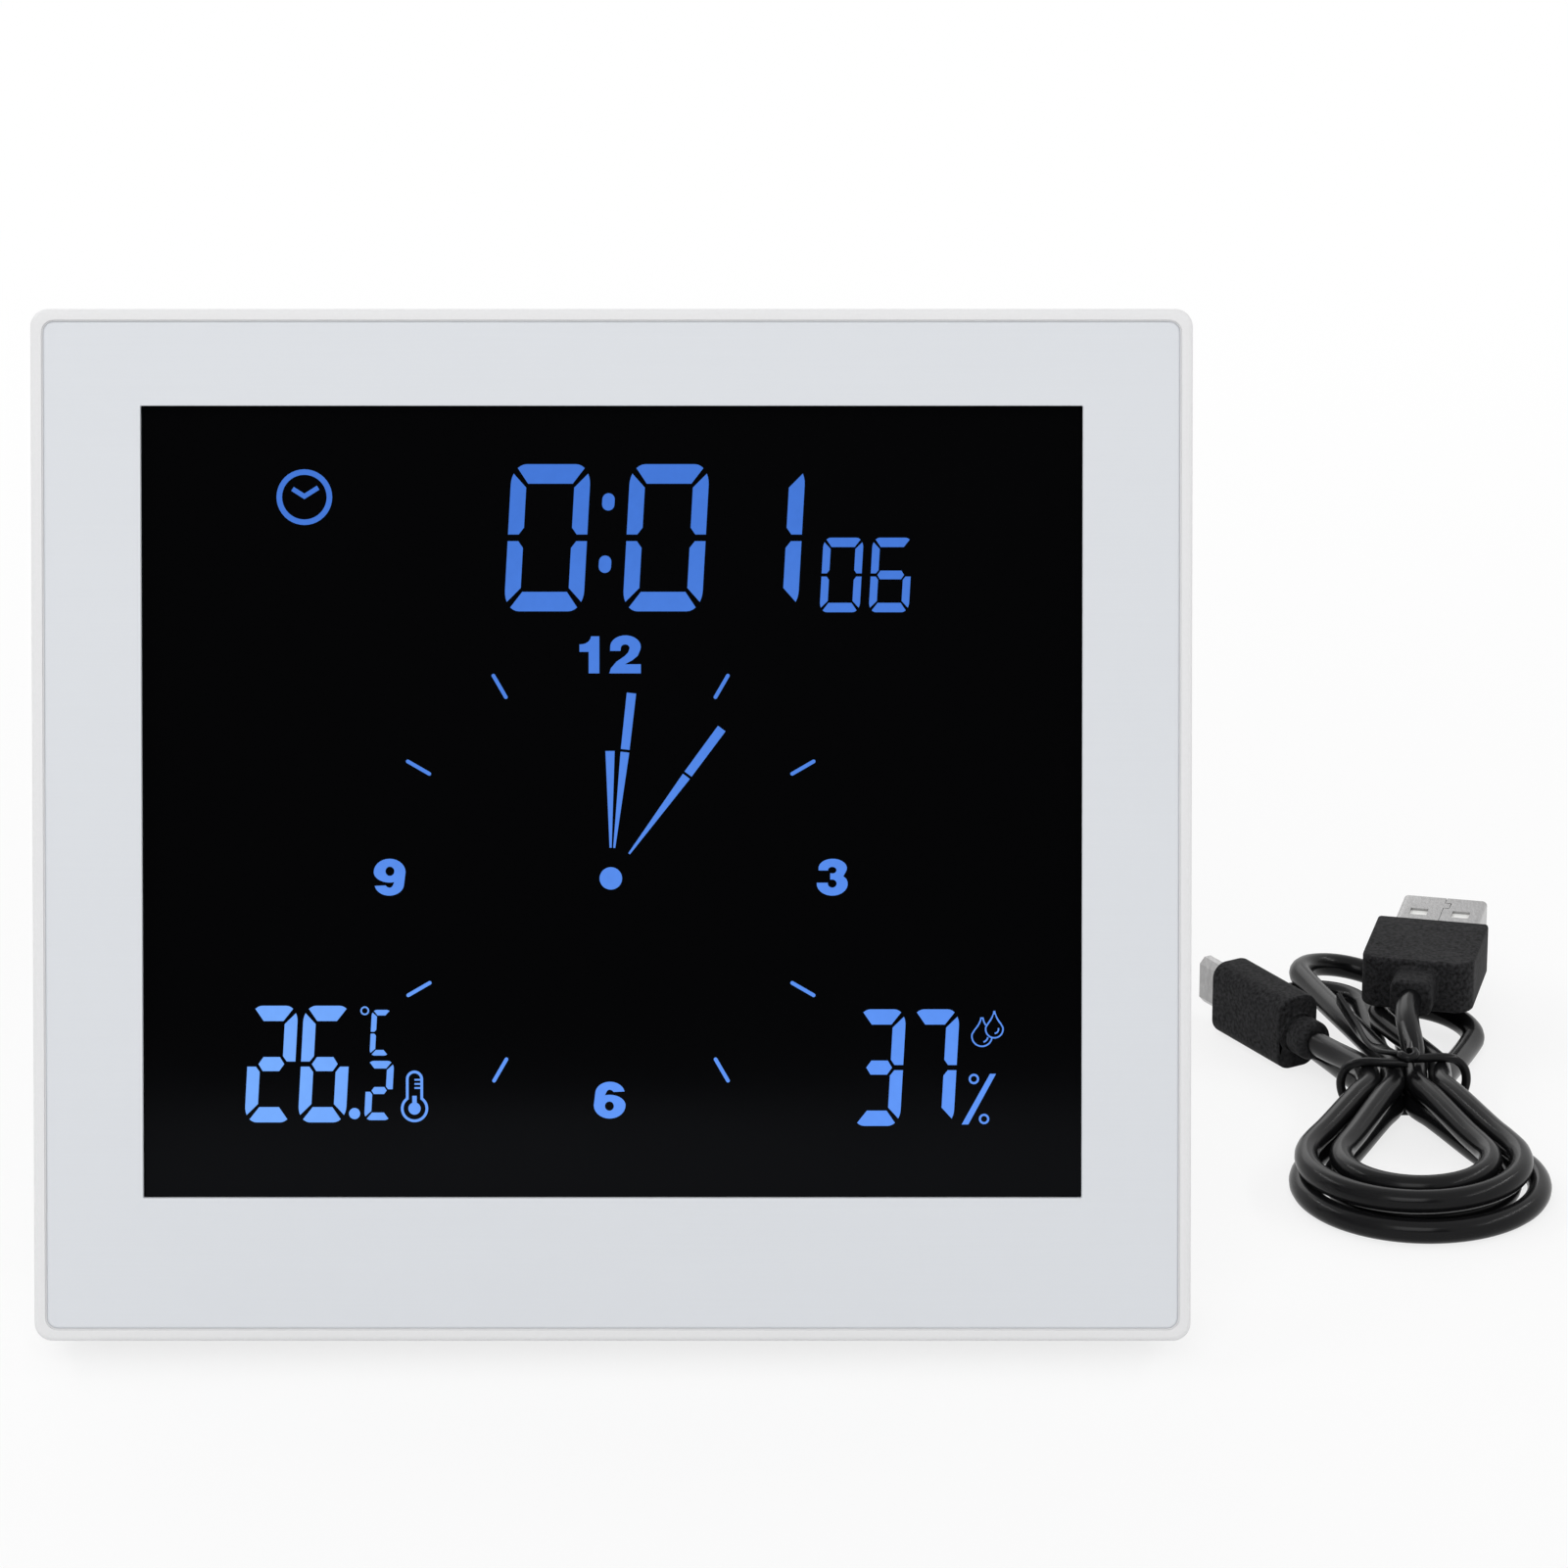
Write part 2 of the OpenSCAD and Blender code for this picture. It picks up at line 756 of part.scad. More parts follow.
// Openings of the cover that the controls and the door need
module cover_openings() {
    for (sx = [-1, 1], z = post_zs) {
        bar(screw_r + 0.2, well_f - eps, case_d, sx * post_x, z);
        bar(well_bore_r, well_f + well_floor, case_d + eps, sx * post_x, z);
    }
    for (sx = [-1, 1], sz = [-1, 1])
        bar(board_pilot_r, board_b - eps, inner_d - 1, board_x + sx * board_hole_x,
            board_z + sz * board_hole_z);
    block(recess_w, recess_top + 20, recess_f, case_d + eps, 0, recess_top - (recess_top + 20) / 2);
    translate([-pin_half - 0.1, hinge_d, hinge_z])
        rotate([0, 90, 0])
            cylinder(r = pin_r + 0.03, h = 2 * pin_half + 0.2);
    difference() {
        block(pocket_w, pocket_h, pocket_f, case_d + eps, pocket_x, door_z);
        for (sz = [-1, 1])
            difference() {
                block(pocket_w + 1, 3, pocket_f - eps, cell_d, pocket_x, door_z + sz * cell_l * 0.27);
                for (k = [-1, 0, 1])
                    translate([pocket_x + k * cell_pitch, cell_d, door_z - pocket_h / 2])
                        cylinder(r = cell_dia / 2 + 0.02, h = pocket_h);
            }
    }
    slab(door_w + 2 * door_gap, door_h + 2 * door_gap, 2 * door_gap, inner_d, case_d + eps, pocket_x, door_z);
    translate([pocket_x - door_w / 2 - 1.6, nose_d, nose_z])
        rotate([0, 90, 0])
            cylinder(r = door_pin_r + 0.06, h = door_w + 3.2);
    bar(7, case_d - 0.9, case_d + eps, pocket_x, door_low + door_h + door_gap + 2);
    for (k = [0 : 4])
        slab(button_w + 2 * button_fit, button_h + 2 * button_fit, button_h / 2 + button_fit - 0.01,
            inner_d - eps, case_d + eps, button_x, button_z(k));
    for (k = [-2 : 2])
        slab(16, 1.4, 0.69, inner_d - eps, case_d + eps, board_x, sensor_z + 2.8 * k);
    slab(12.4, 8.4, 2, inner_d - eps, case_d + eps, board_x, inlet_z);
    bar(buzzer_r - 2, inner_d - 3, inner_d, buzzer_x, buzzer_z);
    bar(0.9, inner_d - eps, case_d + eps, buzzer_x, buzzer_z);
    for (k = [0 : 5])
        bar(0.9, inner_d - eps, case_d + eps, buzzer_x + 4 * cos(60 * k), buzzer_z + 4 * sin(60 * k));
    for (k = [0 : 11])
        bar(0.9, inner_d - eps, case_d + eps, buzzer_x + 8 * cos(30 * k), buzzer_z + 8 * sin(30 * k));
    for (sx = [-1, 1])
        foot_form(sx, foot_out, 0.08);
    for (sx = [-1, 1], sz = [-1, 1])
        bar(small_head_r + head_room, carrier_b, carrier_b + small_head_h + head_room, sx * ear_x,
            mid_z + sz * ear_rise);
}

// Outline of a rubber foot, set into the underside
module foot_form(sx, drop, gap) {
    underside()
        translate([sx * foot_x, foot_s, -drop])
            linear_extrude(drop + foot_in)
                rrect(foot_w + 2 * gap, foot_d + 2 * gap, foot_d / 2 + gap - 0.01);
}

module rear_cover() {
    color([0.80, 0.80, 0.81])
        leaning()
            difference() {
                union() {
                    difference() {
                        cover_form();
                        cover_hollow();
                    }
                    intersection() {
                        cover_inside();
                        cover_form();
                    }
                    cover_tabs();
                }
                cover_openings();
            }
}

module case_screws() {
    color([0.30, 0.30, 0.31])
        leaning()
            for (sx = [-1, 1], z = post_zs)
                screw(screw_r, well_bore_r - 0.2, 1.6, case_screw_l, well_f + well_floor, sx * post_x, z);
}

// Leg with a heel that lands on the recess floor when it is open
module stand() {
    color([0.80, 0.80, 0.81])
        difference() {
            swung()
                difference() {
                    translate([-stand_w / 2, 0, 0])
                        rotate([90, 0, 90])
                            linear_extrude(stand_w)
                                polygon([
                                    [-stand_t / 2, -leg_l], [stand_t / 2, -leg_l], [stand_t / 2, heel],
                                    [stop_d, heel], [-stand_t / 2, stop_z]
                                ]);
                    translate([-stand_w, 0, 0])
                        rotate([0, 90, 0])
                            cylinder(r = pin_r + 0.1, h = 2 * stand_w);
                    slab(stand_w - 12, hinge_z - 26, 3, stand_t / 2 - 0.8, stand_t, 0, -hinge_z / 2 + 1);
                }
            below(pad_h);
        }
}

module stand_pin() {
    color([0.72, 0.72, 0.73])
        leaning()
            translate([-pin_half, hinge_d, hinge_z])
                rotate([0, 90, 0])
                    cylinder(r = pin_r, h = 2 * pin_half);
}

// Rubber tip of the stand, level with the table
module stand_pad() {
    color([0.10, 0.10, 0.10])
        difference() {
            swung()
                block(stand_w, leg_l / 2, -stand_t / 2, stand_t / 2, 0, -leg_l * 0.75);
            below(0);
            below(pad_h + case_w);
        }
}

module feet() {
    color([0.10, 0.10, 0.10])
        leaning()
            for (sx = [-1, 1])
                foot_form(sx, foot_out, 0);
}

// Flap that turns on a round lower edge with a pin at each end
module battery_door() {
    color([0.80, 0.80, 0.81])
        leaning()
            difference() {
                union() {
                    block(door_w, door_h - nose_r, door_f, door_f + door_t, pocket_x,
                        nose_z + (door_h - nose_r) / 2);
                    translate([pocket_x - door_w / 2, nose_d, nose_z])
                        rotate([0, 90, 0])
                            cylinder(r = nose_r, h = door_w);
                    translate([pocket_x - door_w / 2 - 1.3, nose_d, nose_z])
                        rotate([0, 90, 0])
                            cylinder(r = door_pin_r, h = door_w + 2.6);
                    block(10, 1.2, door_f - 1, door_f + 0.5, pocket_x, pocket_top - 1.2);
                }
                for (k = [0 : 4])
                    block(14, 0.8, case_d - 0.6, case_d + eps, pocket_x,
                        door_low + door_h - 5 - 1.8 * k);
            }
}

// Cells with their nubs turned up, down and up
module battery_cells() {
    color([0.16, 0.20, 0.30])
        leaning()
            for (k = [-1, 0, 1])
                translate([pocket_x + k * cell_pitch, cell_d, door_z])
                    rotate([k == 0 ? 180 : 0, 0, 0])
                        translate([0, 0, cell_low]) {
                            cylinder(r = cell_dia / 2, h = cell_l - 1.2);
                            cylinder(r = 1.9, h = cell_l);
                        }
}

// Round wire along a path, as a closed skin
module wire(path, r, sides) {
    n = len(path);
    pts = [
        for (i = [0 : n - 1])
            let (
                t0 = path[min(i + 1, n - 1)] - path[max(i - 1, 0)],
                t = t0 / norm(t0),
                u0 = cross(t, abs(t[2]) > 0.9 ? [1, 0, 0] : [0, 0, 1]),
                u = u0 / norm(u0),
                v = cross(t, u)
            )
            for (s = [0 : sides - 1])
                path[i] + r * (cos(360 * s / sides) * u + sin(360 * s / sides) * v)
    ];
    faces = concat(
        [[for (s = [0 : sides - 1]) s]],
        [
            for (i = [0 : n - 2], s = [0 : sides - 1])
                let (a = i * sides + s, b = i * sides + (s + 1) % sides)
                [a, a + sides, b + sides, b]
        ],
        [[for (s = [sides - 1 : -1 : 0]) (n - 1) * sides + s]]
    );
    polyhedron(pts, faces);
}

// Coil springs between the end contacts and the flat cell ends
module battery_springs() {
    color([0.75, 0.75, 0.74])
        leaning()
            for (k = [-1, 0, 1])
                translate([pocket_x + k * cell_pitch, cell_d, door_z])
                    rotate([k == 0 ? 180 : 0, 0, 0])
                        translate([0, 0, contact_t + 0.32 - pocket_h / 2])
                            wire([
                                for (i = [0 : 48])
                                    let (a = i * 30, r = 4 - 1.6 * i / 48)
                                    [r * cos(a), r * sin(a), (spring_room - 2 * contact_t - 0.64) * i / 48]
                            ], 0.3, 6);
}

module battery_contacts() {
    color([0.78, 0.77, 0.74])
        leaning()
            for (k = [-1, 0, 1], sz = [-1, 1])
                block(9, contact_t, cell_d - 4.5, cell_d + 4.5, pocket_x + k * cell_pitch,
                    door_z + sz * (pocket_h - contact_t) / 2);
}

// Puts a piece of the large plug in place, its mouth along +Y
module at_plug_a() {
    translate([lead_x, lead_y, 0] + plug_a)
        rotate([0, 0, plug_a_turn])
            children();
}

// Folded shell of the large plug, made smaller by a sheet's thickness for its hollow
module shell_a_form(t, y0, y1) {
    translate([0, y0, 0])
        rotate([-90, 0, 0])
            linear_extrude(y1 - y0)
                rrect(shell_a_w - 2 * t, shell_a_t - 2 * t, shell_a_r - t);
}

module plug_a_shell() {
    color([0.62, 0.62, 0.62])
        at_plug_a()
            difference() {
                shell_a_form(0, grip_a_l - sink_a, grip_a_l + shell_a_l);
                shell_a_form(sheet_t, grip_a_l - sink_a + 1, grip_a_l + shell_a_l + eps);
                for (sx = [-1, 1], sz = [-1, 1])
                    translate([sx * 3 - latch_w / 2, grip_a_l + 5, sz * shell_a_t / 2 - 1])
                        cube([latch_w, latch_l, 2]);
            }
}

// Insert behind the seamed side of the shell, its contacts facing the hollow
module plug_a_insert() {
    color([0.92, 0.92, 0.90])
        at_plug_a()
            translate([shell_a_r - shell_a_w / 2, grip_a_l - sink_a + 1, shell_a_t / 2 - sheet_t - insert_t])
                cube([shell_a_w - 2 * shell_a_r, shell_a_l + sink_a - 1.6, insert_t]);
}

module plug_a_contacts() {
    color([0.80, 0.62, 0.22])
        at_plug_a()
            for (k = [-1.5, -0.5, 0.5, 1.5])
                translate([2.3 * k - 0.55, grip_a_l + 3, shell_a_t / 2 - sheet_t - insert_t - 0.2])
                    cube([1.1, 7.6, 0.2]);
}

// Moulded grip with a short boot
module plug_a_grip() {
    color([0.10, 0.10, 0.10])
        at_plug_a()
            difference() {
                union() {
                    translate([0, 0, -grip_a_t / 2])
                        linear_extrude(grip_a_t)
                            difference() {
                                translate([-grip_a_w / 2, 0])
                                    square([grip_a_w, grip_a_l]);
                                for (sx = [-1, 1])
                                    difference() {
                                        translate([sx * grip_a_w / 2 - grip_a_r, -grip_a_r])
                                            square(2 * grip_a_r);
                                        translate([sx * (grip_a_w / 2 - grip_a_r), grip_a_r])
                                            circle(grip_a_r);
                                    }
                            }
                    rotate([90, 0, 0])
                        translate([0, 0, -1])
                            linear_extrude(boot_a_l + 1)
                                rrect(boot_a_w, boot_a_t, 1.3);
                }
                shell_a_form(0, grip_a_l - sink_a, grip_a_l + eps);
            }
}

// Puts a piece of the small plug in place, on its narrow side
module at_plug_b() {
    translate([lead_x, lead_y, 0] + plug_b)
        rotate([0, 0, plug_b_turn])
            rotate([0, 90, 0])
                children();
}

// Folded shell of the small plug with two bevelled edges
module shell_b_form(t, y0, y1) {
    w = shell_b_w / 2 - t;
    h = shell_b_t / 2 - t;
    translate([0, y0, 0])
        rotate([-90, 0, 0])
            linear_extrude(y1 - y0)
                polygon([[-w, -h], [w, -h], [w, 0.1], [w - h, h], [h - w, h], [-w, 0.1]]);
}

module plug_b_shell() {
    color([0.66, 0.66, 0.66])
        at_plug_b()
            difference() {
                shell_b_form(0, grip_b_l - sink_b, grip_b_l + shell_b_l);
                shell_b_form(sheet_b_t, grip_b_l - sink_b + 1, grip_b_l + shell_b_l + eps);
            }
}

module plug_b_insert() {
    color([0.06, 0.06, 0.06])
        at_plug_b()
            translate([sheet_b_t - shell_b_w / 2, grip_b_l - sink_b + 1, shell_b_t / 2 - sheet_b_t - 0.5])
                cube([shell_b_w - 2 * sheet_b_t, shell_b_l + sink_b - 1.4, 0.5]);
}

module plug_b_grip() {
    color([0.10, 0.10, 0.10])
        at_plug_b()
            difference() {
                union() {
                    rotate([-90, 0, 0])
                        linear_extrude(grip_b_l)
                            rrect(grip_b_w, grip_b_t, 2.2);
                    rotate([90, 0, 0])
                        rotate_extrude()
                            difference() {
                                translate([0, -1])
                                    square([boot_b_r, boot_b_l + 1]);
                                translate([boot_b_r - 0.7, 0.2])
                                    square([1, 0.8]);
                                difference() {
                                    translate([boot_b_r - 1, boot_b_l - 1])
                                        square(1.5);
                                    translate([boot_b_r - 1, boot_b_l - 1])
                                        circle(1);
                                }
                            }
                }
                shell_b_form(0, grip_b_l - sink_b, grip_b_l + eps);
            }
}

function spline(p, i, t) =
    let (n = len(p), a = p[max(i - 1, 0)], b = p[i], c = p[i + 1], d = p[min(i + 2, n - 1)])
    0.5 * (2 * b + (c - a) * t + (2 * a - 5 * b + 4 * c - d) * t * t + (3 * b - a - 3 * c + d) * t * t * t);

function smooth(p) = concat(
    [for (i = [0 : len(p) - 2], s = [0 : 4]) spline(p, i, s / 5)],
    [p[len(p) - 1]]
);

function turned(p, a) = [p[0] * cos(a) - p[1] * sin(a), p[0] * sin(a) + p[1] * cos(a), p[2]];

// Free ends of the cord, from each boot to the tie
route_a = [
    plug_a + turned([0, -boot_a_l - boot_gap, 0], plug_a_turn),
    plug_a + turned([0, -boot_a_l - 3, -0.2], plug_a_turn),
    [1.2, 9.6, 10],
    [1.5, 5.8, 8.7],
    [1.66, 2.8, 7.1]
];
route_b = [
    plug_b + turned([0, -boot_b_l - boot_gap, 0], plug_b_turn),
    plug_b + turned([0, -boot_b_l - 3, 0], plug_b_turn),
    [-7.4, 7.4, 5.6],
    [-6, 4.4, 6],
    [-5.2, 2, 6.2]
];

module lead_a() {
    color([0.07, 0.07, 0.07])
        translate([lead_x, lead_y, 0])
            wire(smooth(route_a), cord_dia / 2, 8);
}

module lead_b() {
    color([0.07, 0.07, 0.07])
        translate([lead_x, lead_y, 0])
            wire(smooth(route_b), cord_dia / 2, 8);
}

// Outer form of the tied turns, waisted at the tie
module cord_hank() {
    color([0.07, 0.07, 0.07])
        translate([lead_x, lead_y, 0])
            difference() {
                union() {
                    linear_extrude(pile_h) {
                        translate([0.4, -26.6])
                            circle(17.6);
                        polygon([[-15.6, -20.5], [-7, -1], [7, -1], [16.4, -20.5]]);
                        translate([-4.5, 40.5])
                            circle(8.65);
                        translate([-9.5, 35])
                            circle(8.25);
                        translate([5.2, 25])
                            circle(8.25);
                        polygon([
                            [-7, 1], [-8, 14], [-9.8, 20], [-17.2, 32], [-12, 45], [-1, 48], [4, 42],
                            [12, 30], [13.4, 24], [7, 1]
                        ]);
                    }
                    translate([-7, -3, tie_t])
                        cube([14, 6, waist_top - tie_t]);
                }
                translate([-20, -3, -1])
                    cube([40, 6, tie_t + 1]);
            }
}

// Coated wire tie round the waist
module cord_tie() {
    color([0.05, 0.05, 0.05])
        translate([lead_x, lead_y + tie_t / 2, 0])
            rotate([90, 0, 0])
                linear_extrude(tie_t)
                    difference() {
                        translate([0, (waist_top + tie_t) / 2])
                            rrect(16.8, waist_top + tie_t, 1.5);
                        translate([-7, tie_t])
                            square([14, waist_top - tie_t]);
                    }
}

front_frame();
face_plate();
plate_tape();
window_gasket();
lcd_polariser();
lcd_front_glass();
lcd_rear_glass();
diffuser_sheet();
light_guide();
reflector_sheet();
led_bar();
display_carrier();
carrier_screws();
flex_lead();
flex_socket();
main_board();
board_screws();
control_chip();
buzzer();
climate_sensor();
tact_switches();
mode_plunger();
up_plunger();
down_plunger();
alarm_plunger();
snooze_plunger();
mode_button();
up_button();
down_button();
alarm_button();
snooze_button();
inlet_shell();
inlet_tongue();
rear_cover();
case_screws();
stand();
stand_pin();
stand_pad();
feet();
battery_door();
battery_cells();
battery_springs();
battery_contacts();
plug_a_shell();
plug_a_insert();
plug_a_contacts();
plug_a_grip();
plug_b_shell();
plug_b_insert();
plug_b_grip();
lead_a();
lead_b();
cord_hank();
cord_tie();
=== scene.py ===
import json
import math

import bpy
from mathutils import Matrix, Vector

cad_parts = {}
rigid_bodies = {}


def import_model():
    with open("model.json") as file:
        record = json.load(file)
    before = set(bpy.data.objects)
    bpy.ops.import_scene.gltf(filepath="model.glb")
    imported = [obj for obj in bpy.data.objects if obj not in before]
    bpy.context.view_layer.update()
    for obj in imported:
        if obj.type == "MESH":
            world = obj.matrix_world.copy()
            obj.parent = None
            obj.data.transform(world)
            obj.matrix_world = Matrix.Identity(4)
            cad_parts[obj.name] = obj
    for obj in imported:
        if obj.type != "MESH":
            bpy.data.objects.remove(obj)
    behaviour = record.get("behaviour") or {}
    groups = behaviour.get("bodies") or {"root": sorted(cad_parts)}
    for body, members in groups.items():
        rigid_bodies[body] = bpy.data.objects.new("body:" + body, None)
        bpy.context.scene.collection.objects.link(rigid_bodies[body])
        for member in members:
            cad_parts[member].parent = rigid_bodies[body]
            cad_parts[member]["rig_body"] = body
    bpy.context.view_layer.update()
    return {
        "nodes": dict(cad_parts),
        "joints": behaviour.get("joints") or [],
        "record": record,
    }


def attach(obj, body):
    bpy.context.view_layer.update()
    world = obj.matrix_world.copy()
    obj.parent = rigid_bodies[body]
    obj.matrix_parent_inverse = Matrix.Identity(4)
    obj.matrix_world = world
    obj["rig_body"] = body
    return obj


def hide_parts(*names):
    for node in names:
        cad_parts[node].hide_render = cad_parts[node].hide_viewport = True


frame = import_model()
nodes = frame["nodes"]
slot_of = {part["node"]: part["material_slot"] for part in frame["record"]["subparts"]}
mm = 0.001

# The clock's own axes: to the right, into the case, and up the leaning face
key_travel = next(joint for joint in frame["joints"] if joint["name"] == "mode_press")
RIGHT = Vector((1, 0, 0))
INWARD = -Vector(key_travel["axis"]).normalized()
UPWARD = RIGHT.cross(INWARD)
rim_points = [v.co for v in nodes["front_frame"].data.vertices]
rim_corner = (
    INWARD * min(p.dot(INWARD) for p in rim_points)
    + UPWARD * min(p.dot(UPWARD) for p in rim_points)
)
clock_turn = Matrix((RIGHT, INWARD, UPWARD)).transposed().to_4x4()
clock_place = Matrix.Translation(rim_corner) @ clock_turn


def on_clock(x, depth, height):
    """A point given in millimetres along the clock's own axes."""
    return clock_place @ (Vector((x, depth, height)) * mm)


def clock_points(node):
    """A node's corners along the clock's own axes."""
    back = clock_place.inverted()
    return [back @ v.co for v in nodes[node].data.vertices]


# Hand tools
smooth_angle = math.radians(35)


def deselect():
    bpy.ops.object.select_all(action="DESELECT")


def only(*objs):
    """Selects these objects alone, the first of them active."""
    deselect()
    for obj in objs:
        obj.select_set(True)
    bpy.context.view_layer.objects.active = objs[0]


def add_object(name, data):
    obj = bpy.data.objects.new(name, data)
    bpy.context.collection.objects.link(obj)
    return obj


def remove(obj):
    only(obj)
    bpy.ops.object.delete()


def to_mesh(obj):
    only(obj)
    bpy.ops.object.convert(target="MESH")
    return bpy.context.object


def smooth(piece, angle=smooth_angle):
    only(piece)
    bpy.ops.object.shade_smooth_by_angle(angle=angle)


def settle(piece, place=Matrix.Identity(4)):
    """Puts a piece in place and leaves that place in its mesh."""
    bpy.context.view_layer.update()
    piece.matrix_world = place @ piece.matrix_world
    only(piece)
    bpy.ops.object.transform_apply(location=True, rotation=True, scale=True)


def apply_modifier(piece, kind, **settings):
    modifier = piece.modifiers.new(kind.lower(), kind)
    for name, value in settings.items():
        setattr(modifier, name, value)
    only(piece)
    bpy.ops.object.modifier_apply(modifier=modifier.name)


def round_edges(piece, width, segments, angle):
    """Rounds the edges that turn more than the angle, given in degrees."""
    apply_modifier(
        piece, "BEVEL", width=width, segments=segments, limit_method="ANGLE",
        angle_limit=math.radians(angle), use_clamp_overlap=False, loop_slide=False,
    )
    smooth(piece)
    apply_modifier(piece, "WEIGHTED_NORMAL", keep_sharp=True)


def join(name, parts):
    only(*parts)
    bpy.ops.object.join()
    piece = bpy.context.object
    piece.name = piece.data.name = name
    return piece


def dress(piece, finish, body):
    """Gives a piece its finish and its slot, and lets it ride on a body."""
    piece.data.materials.clear()
    piece.data.materials.append(finish)
    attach(piece, body)


# Camera
photo_px = 1601
face_px_per_mm = 8.06
view_tilt = math.radians(2.5)
view_distance = 0.95
sensor_mm = 36
view_aim = on_clock(21.8, 0, 70.9)
to_camera = UPWARD * math.sin(view_tilt) - INWARD * math.cos(view_tilt)


def set_camera():
    bpy.ops.object.camera_add(location=view_aim + to_camera * view_distance)
    camera = bpy.context.object
    camera.rotation_mode = "QUATERNION"
    camera.rotation_quaternion = (-to_camera).to_track_quat("-Z", "Y")
    camera.data.sensor_width = sensor_mm
    camera.data.lens = sensor_mm * view_distance / (photo_px / face_px_per_mm * mm)
    bpy.context.scene.camera = camera


set_camera()
bpy.context.scene.view_settings.view_transform = "Standard"

# Power lead, in millimetres from the middle of its tie
cord_d = 3.3
cord_resolution = 6
tie_at = Vector((107, 50, 0))
plug_a_at = Vector((3.2, 21.3, 10.75))
plug_a_turn = math.radians(-13)
plug_b_at = Vector((-13.4, 17.6, 5.3))
plug_b_turn = math.radians(31)
boot_a_l = 5
boot_b_l = 4.4
boot_gap = 0.2
# How far the cord runs straight beyond the boots, and how far it sinks there at the large plug
boot_run = 3
boot_a_sag = 0.2


def turned(x, y, z, angle):
    return Matrix.Rotation(angle, 3, "Z") @ Vector((x, y, z))


free_end_a = [
    plug_a_at + turned(0, -boot_a_l - boot_gap, 0, plug_a_turn),
    plug_a_at + turned(0, -boot_a_l - boot_run, -boot_a_sag, plug_a_turn),
    Vector((1.2, 9.6, 10)),
    Vector((1.5, 5.8, 8.7)),
    Vector((1.66, 2.8, 7.1)),
]
free_end_b = [
    plug_b_at + turned(0, -boot_b_l - boot_gap, 0, plug_b_turn),
    plug_b_at + turned(0, -boot_b_l - boot_run, 0, plug_b_turn),
    Vector((-7.4, 7.4, 5.6)),
    Vector((-6, 4.4, 6)),
    Vector((-5.2, 2, 6.2)),
]

# Places of the strands side by side under the tie, and the two layers of the turns
strand_pitch = 3.32
tie_rows = {"low": 2.95, "high": 6.27}
tie_columns = 4
waist_half = 3.5
layer_low = 1.65
layer_high = 4.95
LEFT_ROUND = 1
RIGHT_ROUND = -1
# From strand, to strand, middle and radius of the turn, way round, layer on the way out and back
lead_turns = [
    (("high", 3), ("high", 2), (-0.3, -25.8), 10, RIGHT_ROUND, layer_high, layer_high),
    (("high", 2), ("low", 3), (-4.5, 40.5), 7, RIGHT_ROUND, layer_high, layer_low),
    (("low", 3), ("low", 2), (0.6, -25.9), 11.8, RIGHT_ROUND, layer_low, layer_low),
    (("low", 2), ("low", 1), (-9.5, 35), 6.6, LEFT_ROUND, layer_low, layer_low),
    (("low", 1), ("low", 4), (0.3, -26.8), 16, LEFT_ROUND, layer_low, layer_low),
    (("low", 4), ("high", 4), (5.2, 25), 6.6, LEFT_ROUND, layer_low, layer_high),
    (("high", 4), ("high", 1), (-0.6, -26.2), 14.4, RIGHT_ROUND, layer_high, layer_high),
]
run_step = 4
arc_steps = 16
lead_steps = 4


def strand(place, along=0):
    """Place of a strand under the tie, or that far along it."""
    row, column = place
    return Vector(((column - (tie_columns + 1) / 2) * strand_pitch, along, tie_rows[row]))


def ease(t):
    """From 0 to 1, slow at both ends."""
    return t * t * (3 - 2 * t)


def straight_run(start, end):
    """Points after start and before end, easing from one height to the other."""
    steps = max(2, round((end - start).length / run_step))
    points = []
    for k in range(1, steps):
        point = start.lerp(end, k / steps)
        point.z = start.z + (end.z - start.z) * ease(k / steps)
        points.append(point)
    return points


def touch_angle(point, middle, radius, side):
    """Angle on a turn at which a straight run from the point touches it."""
    reach = Vector((point.x - middle[0], point.y - middle[1]))
    return math.atan2(reach.y, reach.x) + side * math.acos(radius / reach.length)


def turn_points(start, end, middle, radius, way, layer_out, layer_back):
    """Points of one turn of the cord, from the waist by the tie round to the waist again."""
    side = waist_half if middle[1] > 0 else -waist_half
    first, last = strand(start, side), strand(end, side)
    angle_out = touch_angle(first, middle, radius, way)
    angle_back = touch_angle(last, middle, radius, -way)
    sweep = (way * (angle_back - angle_out)) % (2 * math.pi)
    arc = []
    for k in range(arc_steps + 1):
        t = k / arc_steps
        a = angle_out + way * sweep * t
        height = layer_out + (layer_back - layer_out) * ease(t)
        arc.append(Vector((
            middle[0] + radius * math.cos(a), middle[1] + radius * math.sin(a), height,
        )))
    return [first, *straight_run(first, arc[0]), *arc, *straight_run(arc[-1], last), last]


def curve_through(points, steps):
    """A smooth line through the points."""
    line = []
    for i in range(len(points) - 1):
        a, b = points[max(i - 1, 0)], points[i]
        c, d = points[i + 1], points[min(i + 2, len(points) - 1)]
        for s in range(steps):
            t = s / steps
            line.append(0.5 * (
                2 * b + (c - a) * t
                + (2 * a - 5 * b + 4 * c - d) * t ** 2
                + (3 * b - a - 3 * c + d) * t ** 3
            ))
    return line + [points[-1]]


def lead_line():
    """The whole cord from the large plug to the small one, in metres."""
    points = list(free_end_a)
    for turn in lead_turns:
        points.append(strand(turn[0]))
        points.extend(turn_points(*turn))
    points.append(strand(lead_turns[-1][1]))
    points.extend(reversed(free_end_b))
    return [(tie_at + p) * mm for p in curve_through(points, lead_steps)]


def add_spline(curve, places):
    spline = curve.splines.new("POLY")
    spline.points.add(len(places) - 1)
    for point, place in zip(spline.points, places):
        point.co = (*place, 1)
    return spline


